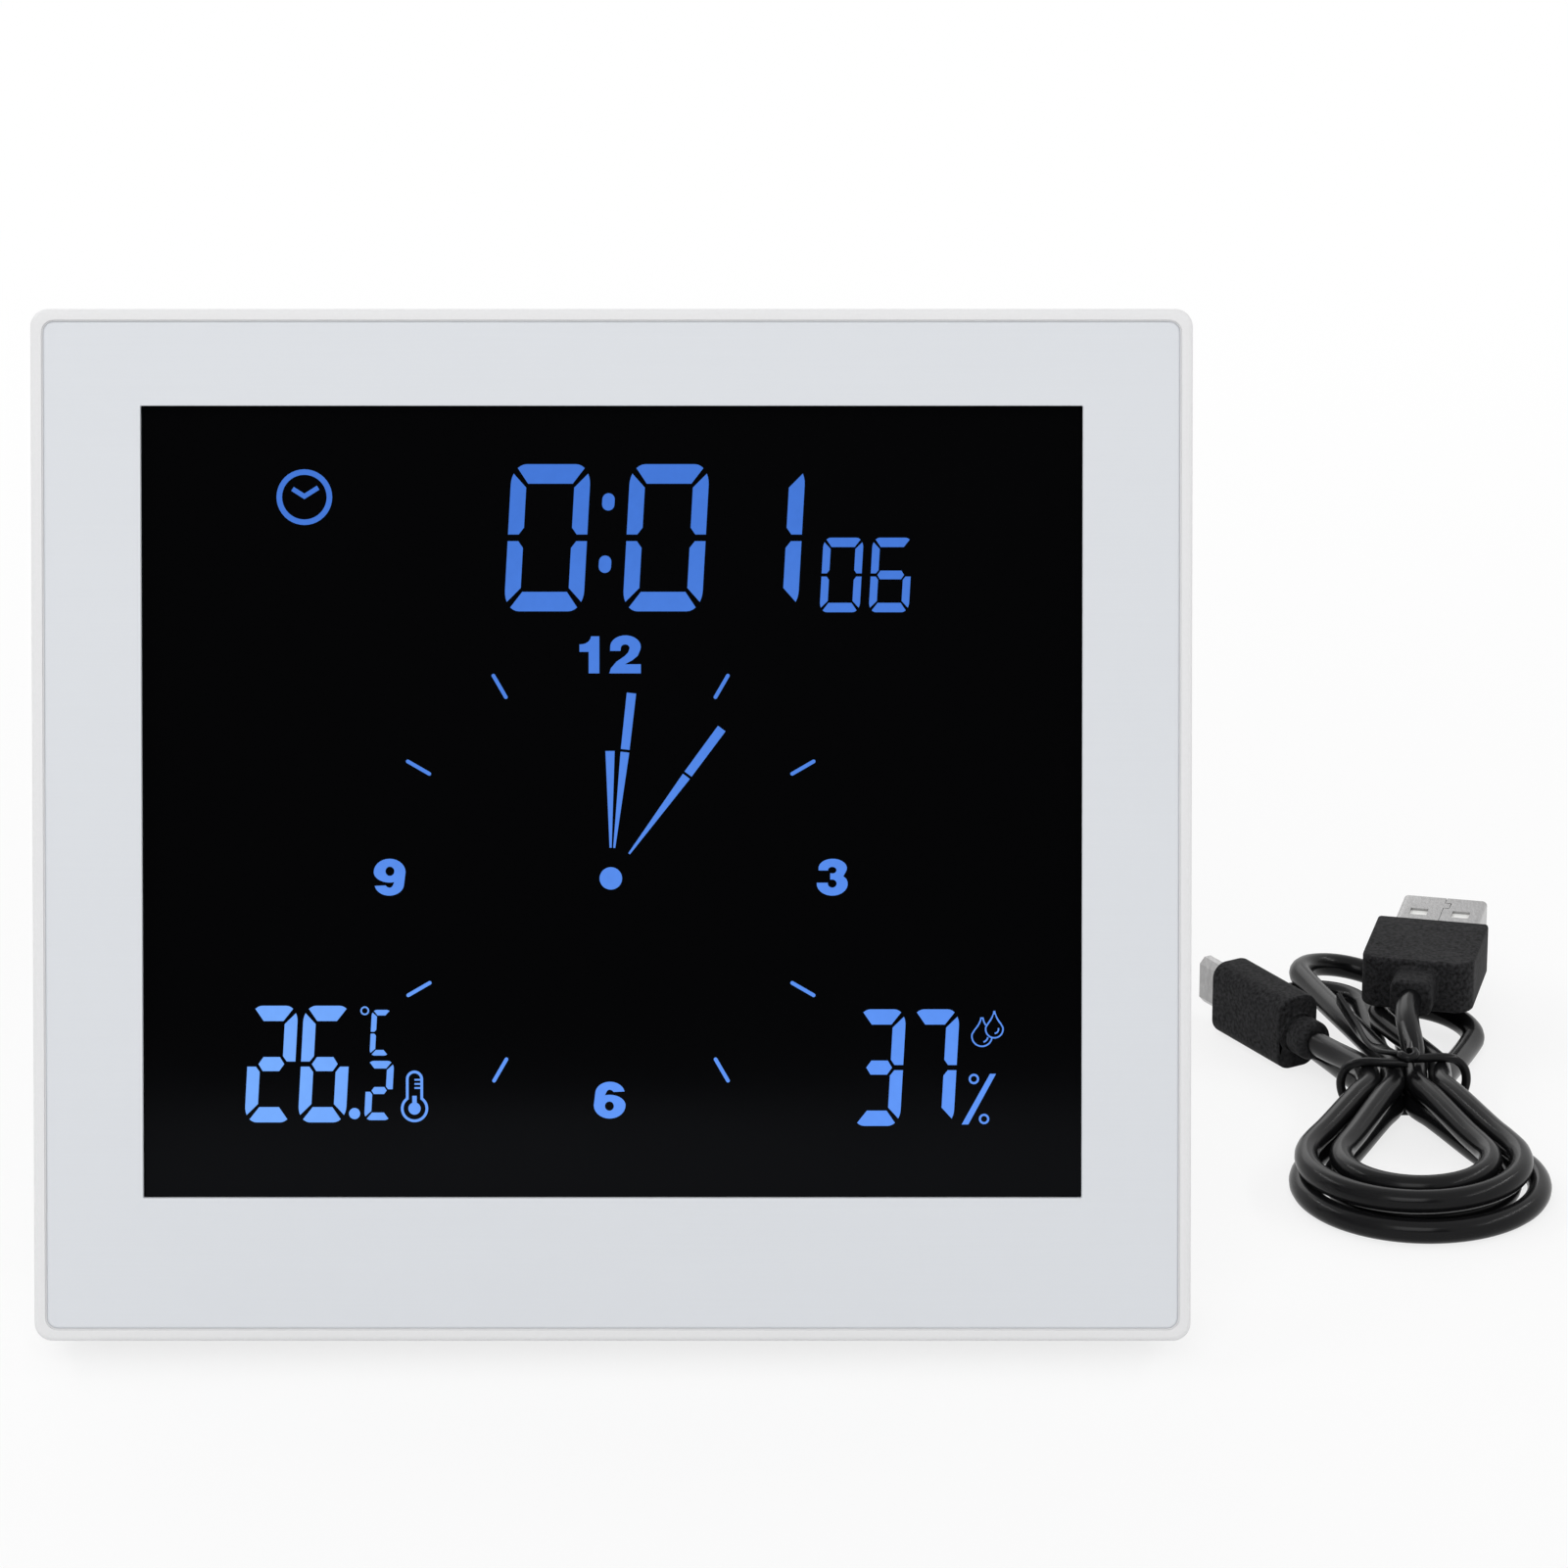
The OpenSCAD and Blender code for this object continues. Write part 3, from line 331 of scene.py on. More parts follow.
def round_wire(name, line, diameter, resolution):
    """A curve with a round section along a line."""
    curve = bpy.data.curves.new(name, "CURVE")
    curve.dimensions = "3D"
    curve.bevel_depth = diameter / 2 * mm
    curve.bevel_resolution = resolution
    curve.use_fill_caps = True
    add_spline(curve, line)
    return add_object(name, curve)


# Shared effects

def add_socket(group, name, way, default=None):
    socket = group.interface.new_socket(name, in_out=way, socket_type="NodeSocketFloat")
    if default is not None:
        socket.default_value = default


def make_grain_group():
    """Fine moulded grain: a height, and a shade that strays a little from 1."""
    group = bpy.data.node_groups.new("moulded_grain", "ShaderNodeTree")
    add_socket(group, "Scale", "INPUT", 4000)
    add_socket(group, "Spread", "INPUT", 0.03)
    add_socket(group, "Height", "OUTPUT")
    add_socket(group, "Shade", "OUTPUT")
    tree, link = group.nodes, group.links.new
    inputs, outputs = tree.new("NodeGroupInput"), tree.new("NodeGroupOutput")
    coords = tree.new("ShaderNodeTexCoord")
    specks = tree.new("ShaderNodeTexNoise")
    specks.inputs["Detail"].default_value = 2
    centred = tree.new("ShaderNodeMath")
    centred.operation = "SUBTRACT"
    centred.inputs[1].default_value = 0.5
    shade = tree.new("ShaderNodeMath")
    shade.operation = "MULTIPLY_ADD"
    shade.inputs[2].default_value = 1
    link(coords.outputs["Object"], specks.inputs["Vector"])
    link(inputs.outputs["Scale"], specks.inputs["Scale"])
    link(specks.outputs["Fac"], outputs.inputs["Height"])
    link(specks.outputs["Fac"], centred.inputs[0])
    link(centred.outputs[0], shade.inputs[0])
    link(inputs.outputs["Spread"], shade.inputs[1])
    link(shade.outputs[0], outputs.inputs["Shade"])
    return group


def make_smudge_group():
    """Broad soft patches, as handling leaves them, between a low and a high value."""
    group = bpy.data.node_groups.new("handling_smudge", "ShaderNodeTree")
    add_socket(group, "Scale", "INPUT", 60)
    add_socket(group, "Low", "INPUT", 0.4)
    add_socket(group, "High", "INPUT", 0.5)
    add_socket(group, "Value", "OUTPUT")
    tree, link = group.nodes, group.links.new
    inputs, outputs = tree.new("NodeGroupInput"), tree.new("NodeGroupOutput")
    coords = tree.new("ShaderNodeTexCoord")
    patches = tree.new("ShaderNodeTexNoise")
    patches.inputs["Detail"].default_value = 4
    spread = tree.new("ShaderNodeMapRange")
    spread.inputs["From Min"].default_value = 0.3
    spread.inputs["From Max"].default_value = 0.7
    link(coords.outputs["Object"], patches.inputs["Vector"])
    link(inputs.outputs["Scale"], patches.inputs["Scale"])
    link(patches.outputs["Fac"], spread.inputs["Value"])
    link(inputs.outputs["Low"], spread.inputs["To Min"])
    link(inputs.outputs["High"], spread.inputs["To Max"])
    link(spread.outputs["Result"], outputs.inputs["Value"])
    return group


grain_group = make_grain_group()
smudge_group = make_smudge_group()
bump_height = 0.05 * mm
# How far handling takes the roughness of moulded stock either way, of sheet down and up, of glass up
grained_wear = 0.05
brushed_wear = (0.04, 0.06)
glass_wear = 0.04


class Finish:
    """A material under way: its shader and the nodes that feed it."""

    def __init__(self, name):
        self.material = bpy.data.materials.new(name)
        self.material.use_nodes = True
        self.tree = self.material.node_tree.nodes
        self.link = self.material.node_tree.links.new
        self.shader = self.tree["Principled BSDF"]

    def node(self, kind, **settings):
        node = self.tree.new("ShaderNode" + kind)
        for name, value in settings.items():
            setattr(node, name, value)
        return node

    def set(self, **values):
        for name, value in values.items():
            self.shader.inputs[name.replace("_", " ")].default_value = value

    def group(self, group, **values):
        node = self.node("Group", node_tree=group)
        for name, value in values.items():
            node.inputs[name].default_value = value
        return node

    def roughness(self, low, high, scale=60):
        patches = self.group(smudge_group, Scale=scale, Low=low, High=high)
        self.link(patches.outputs["Value"], self.shader.inputs["Roughness"])

    def shaded(self, colour, shade):
        """The colour, lighter and darker with a shade that varies about 1."""
        mix = self.node("Mix", data_type="RGBA", blend_type="MULTIPLY")
        mix.inputs["Factor"].default_value = 1
        mix.inputs["A"].default_value = (*colour, 1)
        self.link(shade, mix.inputs["B"])
        self.link(mix.outputs["Result"], self.shader.inputs["Base Color"])

    def bump(self, height, strength):
        bump = self.node("Bump")
        bump.inputs["Strength"].default_value = strength
        bump.inputs["Distance"].default_value = bump_height
        self.link(height, bump.inputs["Height"])
        self.link(bump.outputs["Normal"], self.shader.inputs["Normal"])


def grained(name, colour, roughness, scale=3000, spread=0.05, depth=0.15, **settings):
    """Moulded stock with a fine grain."""
    finish = Finish(name)
    grain = finish.group(grain_group, Scale=scale, Spread=spread)
    finish.shaded(colour, grain.outputs["Shade"])
    finish.bump(grain.outputs["Height"], depth)
    finish.roughness(roughness - grained_wear, roughness + grained_wear)
    finish.set(**settings)
    return finish.material


def brushed(name, colour, roughness, stretch, spread=0.04, depth=0.05, **settings):
    """Sheet with fine lines along one way; stretch is the pattern's scale each way."""
    finish = Finish(name)
    coords = finish.node("TexCoord")
    mapping = finish.node("Mapping")
    mapping.inputs["Scale"].default_value = stretch
    lines = finish.node("TexNoise")
    lines.inputs["Scale"].default_value = 1
    lines.inputs["Detail"].default_value = 3
    shade = finish.node("MapRange")
    shade.inputs["To Min"].default_value = 1 - spread
    shade.inputs["To Max"].default_value = 1 + spread
    finish.link(coords.outputs["Object"], mapping.inputs["Vector"])
    finish.link(mapping.outputs["Vector"], lines.inputs["Vector"])
    finish.link(lines.outputs["Fac"], shade.inputs["Value"])
    finish.shaded(colour, shade.outputs["Result"])
    finish.bump(lines.outputs["Fac"], depth)
    finish.roughness(roughness - brushed_wear[0], roughness + brushed_wear[1])
    finish.set(**settings)
    return finish.material


def up_the_face(finish, low, high):
    """A value from 0 to 1 between two heights on the face, in millimetres."""
    coords = finish.node("TexCoord")
    height = finish.node("VectorMath", operation="DOT_PRODUCT")
    height.inputs[1].default_value = UPWARD
    spread = finish.node("MapRange")
    base = rim_corner.dot(UPWARD)
    spread.inputs["From Min"].default_value = base + low * mm
    spread.inputs["From Max"].default_value = base + high * mm
    finish.link(coords.outputs["Object"], height.inputs[0])
    finish.link(height.outputs["Value"], spread.inputs["Value"])
    return spread.outputs["Result"]


def lit_segments():
    """Blue light through the display, paler towards its foot and palest by its lower left corner."""
    finish = Finish("lit_segment_blue")
    foot, top = 30.5, 104.5
    foot_blue, top_blue = (0.108, 0.29, 0.89, 1), (0.045, 0.163, 0.625, 1)
    corner, corner_reach = on_clock(-44, 0, 33), 36 * mm
    corner_blue = (0.175, 0.4, 0.95, 1)
    ramp = finish.node("ValToRGB")
    ramp.color_ramp.elements[0].color = foot_blue
    ramp.color_ramp.elements[1].color = top_blue
    finish.link(up_the_face(finish, foot, top), ramp.inputs["Fac"])
    coords = finish.node("TexCoord")
    away = finish.node("VectorMath", operation="DISTANCE")
    away.inputs[1].default_value = corner
    glow = finish.node("MapRange", interpolation_type="SMOOTHSTEP")
    glow.inputs["From Max"].default_value = corner_reach
    glow.inputs["To Min"].default_value = 1
    glow.inputs["To Max"].default_value = 0
    pale = finish.node("Mix", data_type="RGBA")
    pale.inputs["B"].default_value = corner_blue
    finish.link(coords.outputs["Object"], away.inputs[0])
    finish.link(away.outputs["Value"], glow.inputs["Value"])
    finish.link(glow.outputs["Result"], pale.inputs["Factor"])
    finish.link(ramp.outputs["Color"], pale.inputs["A"])
    mottle = finish.group(grain_group, Scale=900, Spread=0.12)
    mix = finish.node("Mix", data_type="RGBA", blend_type="MULTIPLY")
    mix.inputs["Factor"].default_value = 1
    finish.link(pale.outputs["Result"], mix.inputs["A"])
    finish.link(mottle.outputs["Shade"], mix.inputs["B"])
    finish.link(mix.outputs["Result"], finish.shader.inputs["Emission Color"])
    finish.roughness(0.4, 0.5)
    finish.set(Base_Color=(0.01, 0.02, 0.05, 1), Emission_Strength=1, Specular_IOR_Level=0.05)
    return finish.material


def display_black():
    """Dark front of the display, with a weak bluish mirror."""
    finish = Finish("display_black")
    grain = finish.group(grain_group, Scale=1500, Spread=0.2)
    finish.shaded((0.0012, 0.0012, 0.0013), grain.outputs["Shade"])
    finish.roughness(0.05, 0.08, scale=25)
    finish.set(Specular_IOR_Level=0.07, Specular_Tint=(0.82, 0.87, 1, 1))
    return finish.material


def clear_glass(name, tint, roughness):
    """Clear sheet with a little of its own colour."""
    finish = Finish(name)
    grain = finish.group(grain_group, Scale=800, Spread=0.05)
    finish.shaded(tint, grain.outputs["Shade"])
    finish.roughness(roughness, roughness + glass_wear)
    finish.set(Transmission_Weight=0.8, IOR=1.5)
    return finish.material


def cell_wrap():
    """Sleeve of a cell: silver-grey with a dark band at its plus end, and bare metal at both tips.

    The middle cell lies the other way up than the two beside it.
    """
    finish = Finish("cell_wrap")
    bare_metal, sleeve, band = (0.6, 0.6, 0.6, 1), (0.3, 0.32, 0.34, 1), (0.03, 0.034, 0.04, 1)
    sleeve_from, band_from, band_to = 0.15, 0.86, 0.955
    ramp = finish.node("ValToRGB")
    ramp.color_ramp.interpolation = "CONSTANT"
    ramp.color_ramp.elements[0].color = bare_metal
    ramp.color_ramp.elements[1].position = sleeve_from
    ramp.color_ramp.elements[1].color = sleeve
    for position, colour in ((band_from, band), (band_to, bare_metal)):
        ramp.color_ramp.elements.new(position).color = colour
    cells = clock_points("battery_cells")
    left, right = min(p.x for p in cells), max(p.x for p in cells)
    low, high = min(p.z for p in cells), max(p.z for p in cells)
    coords = finish.node("TexCoord")
    place = finish.node("SeparateXYZ")
    # The middle cell takes the middle third of the row, a sixth to either side
    in_middle = finish.node("Math", operation="COMPARE")
    in_middle.inputs[1].default_value = (left + right) / 2
    in_middle.inputs[2].default_value = (right - left) / 6
    turned_over = finish.node("Math", operation="SUBTRACT")
    along = finish.node("Math", operation="ABSOLUTE")
    finish.link(coords.outputs["Object"], place.inputs["Vector"])
    finish.link(place.outputs["X"], in_middle.inputs[0])
    finish.link(in_middle.outputs[0], turned_over.inputs[0])
    finish.link(up_the_face(finish, low / mm, high / mm), turned_over.inputs[1])
    finish.link(turned_over.outputs[0], along.inputs[0])
    finish.link(along.outputs[0], ramp.inputs["Fac"])
    finish.link(ramp.outputs["Color"], finish.shader.inputs["Base Color"])
    finish.roughness(0.3, 0.34, scale=30)
    finish.set(Metallic=0.3)
    return finish.material


def circuit_board():
    """Green lacquer over copper tracks."""
    finish = Finish("board_green")
    coords = finish.node("TexCoord")
    tracks = finish.node("TexBrick")
    tracks.inputs["Scale"].default_value = 260
    tracks.inputs["Mortar Size"].default_value = 0.012
    tracks.inputs["Color1"].default_value = (0.02, 0.16, 0.07, 1)
    tracks.inputs["Color2"].default_value = (0.025, 0.19, 0.085, 1)
    tracks.inputs["Mortar"].default_value = (0.06, 0.3, 0.13, 1)
    turn = finish.node("Mapping")
    turn.inputs["Rotation"].default_value = (-math.atan2(UPWARD.z, UPWARD.y), 0, 0)
    finish.link(coords.outputs["Object"], turn.inputs["Vector"])
    finish.link(turn.outputs["Vector"], tracks.inputs["Vector"])
    finish.link(tracks.outputs["Color"], finish.shader.inputs["Base Color"])
    finish.roughness(0.3, 0.4)
    return finish.material


# Name, colour and roughness, then the grain's scale, its spread of shade and its depth
finishes = {
    "frame_white": grained("frame_white", (0.775, 0.775, 0.783), 0.55, 2600, 0.04, 0.12),
    "plate_silver": brushed("plate_silver", (0.70, 0.722, 0.757), 0.42, (40, 5000, 5000), 0.012, 0.03),
    "button_grey": grained("button_grey", (0.55, 0.56, 0.58), 0.5),
    "display_black": display_black(),
    "display_glass": clear_glass("display_glass", (0.5, 0.55, 0.6), 0.02),
    "light_plastic": clear_glass("light_plastic", (0.8, 0.86, 0.92), 0.2),
    "carrier_white": grained("carrier_white", (0.82, 0.82, 0.8), 0.5),
    "foam": grained("foam", (0.03, 0.03, 0.03), 0.9, 1800, 0.3, 0.5),
    "steel": brushed("steel", (0.5, 0.5, 0.49), 0.3, (900, 900, 3000), Metallic=1),
    "tin": brushed("tin", (0.345, 0.342, 0.342), 0.26, (2600, 700, 700), 0.3, 0.04, Metallic=1),
    "amber_film": grained("amber_film", (0.6, 0.3, 0.06), 0.35, 900, 0.1, 0.05),
    "board_green": circuit_board(),
    "black_plastic": grained("black_plastic", (0.03, 0.03, 0.031), 0.5),
    "brass": brushed("brass", (0.75, 0.55, 0.22), 0.3, (900, 900, 3000), Metallic=1),
    "white_plastic": grained("white_plastic", (0.85, 0.85, 0.83), 0.45),
    "rubber": grained("rubber", (0.035, 0.035, 0.036), 0.75, 2200, 0.15, 0.3),
    "cell_wrap": cell_wrap(),
    "grip_black": grained(
        "grip_black", (0.021, 0.021, 0.022), 0.62, 2100, 3, 1, Specular_IOR_Level=0.04,
    ),
    "cord_black": grained(
        "cord_black", (0.006, 0.006, 0.0065), 0.22, 2400, 0.2, 0.05, Specular_IOR_Level=0.14,
    ),
}
segment_blue = lit_segments()
for name, node in nodes.items():
    node.data.materials.clear()
    node.data.materials.append(finishes[slot_of[name]])

# Moulded pieces with their edges rounded
merge_gap = 1e-6
flat_angle = 0.001


def moulded(node, edge=0, segments=2, angle=35):
    """A smooth copy of a CAD node, with its sharp edges rounded, which stands for the node."""
    piece = add_object(node + "_moulding", nodes[node].data.copy())
    only(piece)
    bpy.ops.mesh.customdata_custom_splitnormals_clear()
    bpy.ops.object.mode_set(mode="EDIT")
    bpy.ops.mesh.select_all(action="SELECT")
    bpy.ops.mesh.remove_doubles(threshold=merge_gap)
    bpy.ops.mesh.dissolve_limited(angle_limit=flat_angle)
    bpy.ops.object.mode_set(mode="OBJECT")
    if edge:
        round_edges(piece, edge * mm, segments, angle)
    else:
        smooth(piece)
    dress(piece, finishes[slot_of[node]], nodes[node]["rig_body"])
    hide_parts(node)
    return piece


moulded("front_frame")
moulded("face_plate", edge=0.14, segments=3)
moulded("rear_cover")
moulded("stand", edge=0.3)
moulded("battery_door", edge=0.18)
for key in ("mode", "up", "down", "alarm", "snooze"):
    moulded(key + "_button", edge=0.15)
grip_a = moulded("plug_a_grip", edge=0.5, segments=3, angle=50)
grip_b = moulded("plug_b_grip", edge=0.35, segments=3, angle=50)


# Lit marks on the display, in millimetres on the face
ink_t = 0.06
display_d = min(p.y for p in clock_points("lcd_polariser")) / mm
digit_slant = math.tan(math.radians(3.2))


def circle_points(x, z, radius, start=0, sweep=360, steps=40):
    """Points along a circle; a full one ends a step before its start, a part keeps both ends."""
    angles = [math.radians(start + sweep * k / steps) for k in range(steps + (abs(sweep) < 360))]
    return [(x + radius * math.cos(a), z + radius * math.sin(a)) for a in angles]


def ring(x, z, radius, width):
    return [circle_points(x, z, radius), circle_points(x, z, radius - width)]


def stroke(points, width):
    """Outline of a line of even width along the points, with pointed corners."""
    runs = [((bx - ax), (bz - az)) for (ax, az), (bx, bz) in zip(points, points[1:])]
    normals = [(-z / math.hypot(x, z), x / math.hypot(x, z)) for x, z in runs]
    left, right = [], []
    for (x, z), before, after in zip(points, normals[:1] + normals, normals + normals[-1:]):
        reach = width / 2 / (1 + before[0] * after[0] + before[1] * after[1])
        nx, nz = (before[0] + after[0]) * reach, (before[1] + after[1]) * reach
        left.append((x + nx, z + nz))
        right.append((x - nx, z - nz))
    return left + right[::-1]


def round_bar(x0, z0, x1, z1, width):
    """Outline of a bar with round ends."""
    lean = math.degrees(math.atan2(z1 - z0, x1 - x0))
    return (
        circle_points(x0, z0, width / 2, start=lean + 90, sweep=180, steps=10)
        + circle_points(x1, z1, width / 2, start=lean - 90, sweep=180, steps=10)
    )


GLYPHS = {"0": "abcdef", "1": "bc", "2": "abged", "3": "abgcd", "6": "acdefg", "7": "abc", "C": "adef"}


def digit(glyph, x, z, width, height, upright, level):
    """Outlines of a seven-part figure; upright and level are its strokes' widths."""
    w, h = width / 2, height / 2
    bend_x, bend_z = 0.96 * upright, 1.06 * level
    top_end = w - 1.11 * upright
    middle = 0.17 * level
    side_high, side_low = h - 1.2 * level, middle + 0.35 * level
    side_end = w - 0.68 * upright
    tip, flat, thick = w - 0.87 * upright, w - 1.24 * upright, 0.46 * level

    def bend(start, end):
        """Points round the upper right corner."""
        points = []
        for angle in (start, (2 * start + end) / 3, (start + 2 * end) / 3, end):
            a = math.radians(angle)
            points.append((w - bend_x + bend_x * math.cos(a), h - bend_z + bend_z * math.sin(a)))
        return points

    half_top = bend(90, 54) + [(top_end, h - level)]
    top = half_top + [(-a, b) for a, b in reversed(half_top)]
    side = bend(0, 33) + [
        (w - upright, side_high), (w - upright, side_low), (side_end, middle), (w, middle),
    ]
    parts = {
        "a": top,
        "b": side,
        "c": [(a, -b) for a, b in side],
        "d": [(a, -b) for a, b in top],
        "e": [(-a, -b) for a, b in side],
        "f": [(-a, b) for a, b in side],
        "g": [(tip, 0), (flat, thick), (-flat, thick), (-tip, 0), (-flat, -thick), (flat, -thick)],
    }
    return [[(x + a + b * digit_slant, z + b) for a, b in parts[part]] for part in GLYPHS[glyph]]


def outline_curve(name, *outlines):
    """A flat curve of closed outlines given in millimetres."""
    curve = bpy.data.curves.new(name, "CURVE")
    curve.dimensions = "2D"
    for outline in outlines:
        spline = add_spline(curve, [(x * mm, z * mm, 0) for x, z in outline])
        spline.use_cyclic_u = True
    return add_object(name, curve)


def flat_plate(outlines, thickness=ink_t):
    """A thin plate from closed outlines; an outline inside another is a hole."""
    plate = outline_curve("mark", *outlines)
    plate.data.fill_mode = "BOTH"
    plate.data.extrude = thickness / 2 * mm
    return to_mesh(plate)


def bow(x, z, radius_x, radius_z, start, end, steps=14):
    """Points along part of an ellipse."""
    angles = [math.radians(start + (end - start) * k / steps) for k in range(steps + 1)]
    return [(x + radius_x * math.cos(a), z + radius_z * math.sin(a)) for a in angles]


def six_outlines():
    body = (
        bow(0.44, 0.68, 0.4, 0.32, 10, 180)
        + bow(0.43, 0.36, 0.43, 0.36, 180, 360)
        + bow(0.43, 0.36, 0.43, 0.285, 0, 107)
        + [(0.344, 0.722), (0.38, 0.77), (0.43, 0.787), (0.49, 0.77), (0.54, 0.722)]
    )
    return [body, bow(0.423, 0.339, 0.12, 0.125, 0, 360, 28)[:-1]]


def numeral_outlines(numeral):
    """Outlines of a heavy plain numeral, one unit tall."""
    if numeral == "1":
        flag = [(0.295, 0.93), (0.25, 0.865), (0.17, 0.81), (0.08, 0.787), (0, 0.782)]
        return [[(0.248, 0), (0.536, 0), (0.536, 1), (0.313, 1), *flag, (0, 0.58), (0.248, 0.58)]]
    if numeral == "2":
        return [
            [(0.022, 0.605)]
            + bow(0.436, 0.717, 0.414, 0.31, 185, -15)
            + [(0.763, 0.47), (0.62, 0.355), (0.422, 0.245), (0.85, 0.245), (0.85, 0), (0, 0)]
            + [(0.04, 0.136), (0.19, 0.313), (0.409, 0.463), (0.505, 0.56)]
            + bow(0.428, 0.681, 0.118, 0.1, -10, 180)
            + [(0.3, 0.605)]
        ]
    if numeral == "3":
        return [
            [(0.041, 0.683)]
            + bow(0.423, 0.746, 0.385, 0.254, 185, -25)
            + [(0.71, 0.527)]
            + bow(0.41, 0.322, 0.42, 0.322, 25, -185)
            + [(0.287, 0.35)]
            + bow(0.41, 0.328, 0.12, 0.11, 170, 440)
            + [(0.355, 0.437), (0.355, 0.609)]
            + bow(0.41, 0.691, 0.115, 0.09, -80, 180)
            + [(0.3, 0.683)]
        ]
    if numeral == "9":
        return [[(0.86 - a, 1 - b) for a, b in outline] for outline in six_outlines()]
    return six_outlines()


def numeral(figure, x, z):
    """A dial numeral with its lower left corner at that place."""
    return flat_plate([
        [(x + a * numeral_h, z + b * numeral_h) for a, b in outline]
        for outline in numeral_outlines(figure)
    ])


def close_seams(piece):
    """Merges a piece's doubled points and turns its faces outward."""
    only(piece)
    bpy.ops.object.mode_set(mode="EDIT")
    bpy.ops.mesh.select_all(action="SELECT")
    bpy.ops.mesh.remove_doubles(threshold=merge_gap)
    bpy.ops.mesh.normals_make_consistent(inside=False)
    bpy.ops.object.mode_set(mode="OBJECT")


def stand_on_face(plate, depth):
    """Stands a flat plate on the face, its middle at that depth."""
    close_seams(plate)
    upright = Matrix.Translation((0, depth * mm, 0)) @ Matrix.Rotation(math.pi / 2, 4, "X")
    settle(plate, clock_place @ upright)


def lit_mark(name, plates):
    """Joins plates into one mark, stands it on the display and lights it."""
    mark = join(name, plates)
    stand_on_face(mark, display_d - ink_t / 2)
    dress(mark, segment_blue, "case")


# Glue that fills the gap round the face plate, up to a little below its surface
glue_in = 0.22
glue_clear = 0.01
glue_out = 0.19
glue_t = 0.5
plate_corner = 1.4


def rounded_outline(low_x, high_x, low_z, high_z, corner):
    """Outline of a rectangle with round corners."""
    return [
        point for x, z, start in (
            (high_x - corner, high_z - corner, 0), (low_x + corner, high_z - corner, 90),
            (low_x + corner, low_z + corner, 180), (high_x - corner, low_z + corner, 270),
        ) for point in circle_points(x, z, corner, start, sweep=90, steps=10)
    ]


def make_glue_bead():
    plate = [p / mm for p in clock_points("face_plate")]
    low_x, high_x = min(p.x for p in plate), max(p.x for p in plate)
    low_z, high_z = min(p.z for p in plate), max(p.z for p in plate)
    outlines = [
        rounded_outline(low_x - grow, high_x + grow, low_z - grow, high_z + grow, plate_corner + grow)
        for grow in (glue_out, glue_clear)
    ]
    bead = flat_plate(outlines, glue_t)
    bead.name = bead.data.name = "plate_glue"
    front = min(p.y for p in plate) + glue_in
    stand_on_face(bead, front + glue_t / 2)
    dress(bead, finishes["frame_white"], "case")


# Width and height of the figures, and widths of their upright and level strokes
big_figure = (10.05, 18.65, 1.98, 2.47)
day_figure = (5.08, 9.45, 0.97, 1.19)
climate_figure = (6.08, 14.87, 1.61, 1.95)
tenth_figure = (3.42, 7.56, 0.86, 0.97)
unit_figure = (2.5, 5.82, 0.68, 0.71)
# Heights of the middles of their rows
time_z = 102.05
day_z = 97.34
temperature_z = 35.15
tenth_z = 31.78
unit_z = 39.15
humidity_z = 34.7


def figures(row, z, figure):
    """Outlines of a row of figures, each given with the place of its middle."""
    return [outline for glyph, x in row for outline in digit(glyph, x, z, *figure)]


def time_mark():
    dot_w, dot_half, dot_lean = 1.57, 0.32, 0.04
    shapes = figures((("0", -8.19), ("0", 6.85), ("1", 19.02)), time_z, big_figure)
    for x, z in ((-0.48, 106.6), (-0.92, 98.7)):
        shapes.append(round_bar(x, z - dot_half, x + dot_lean, z + dot_half, dot_w))
    lit_mark("display_time", [flat_plate(shapes)])


def day_mark():
    shapes = figures((("0", 29.1), ("6", 35.33)), day_z, day_figure)
    lit_mark("display_day", [flat_plate(shapes)])


def clock_icon():
    x, z = -39.0, 107.2
    radius, rim_w, hand_w = 3.53, 0.7, 0.6
    hands = [(x - 1.5, z + 1.05), (x, z + 0.1), (x + 1.75, z + 1.2)]
    shapes = ring(x, z, radius, rim_w)
    shapes.append(stroke(hands, hand_w))
    lit_mark("display_clock_icon", [flat_plate(shapes)])


# Dial: its hub, the ticks of its hours, its hands from near the hub outward, and its numerals
dial_x, dial_z = -0.2, 58.8
hub_r = 1.43
tick_from, tick_to, tick_w = 26.6, 29.75, 0.47
hand_from, hand_from_w = 3.9, 0.26
long_hands = (6.4, 36.5)
long_break, long_break_w = 16.15, 1.11
long_again = 16.5
long_to, long_to_w = 23.7, 1.19
short_hand = -0.3
short_to, short_to_w = 16.2, 1.17
numeral_h = 4.7
dial_numerals = (
    ("1", -4.15, 84.86), ("2", -0.36, 84.86), ("3", 26.0, 56.6), ("6", -2.4, 28.2),
    ("9", -30.32, 56.6),
)


def dial_point(radius, angle, across=0):
    """A place on the dial; the angle is in degrees from the top, the way the hands go."""
    s, c = math.sin(math.radians(angle)), math.cos(math.radians(angle))
    return (dial_x + radius * s + across * c, dial_z + radius * c - across * s)


def hand(angle, start, end, width_start, width_end):
    """Outline of a hand, or of a part of one."""
    return [
        dial_point(start, angle, -width_start / 2), dial_point(start, angle, width_start / 2),
        dial_point(end, angle, width_end / 2), dial_point(end, angle, -width_end / 2),
    ]


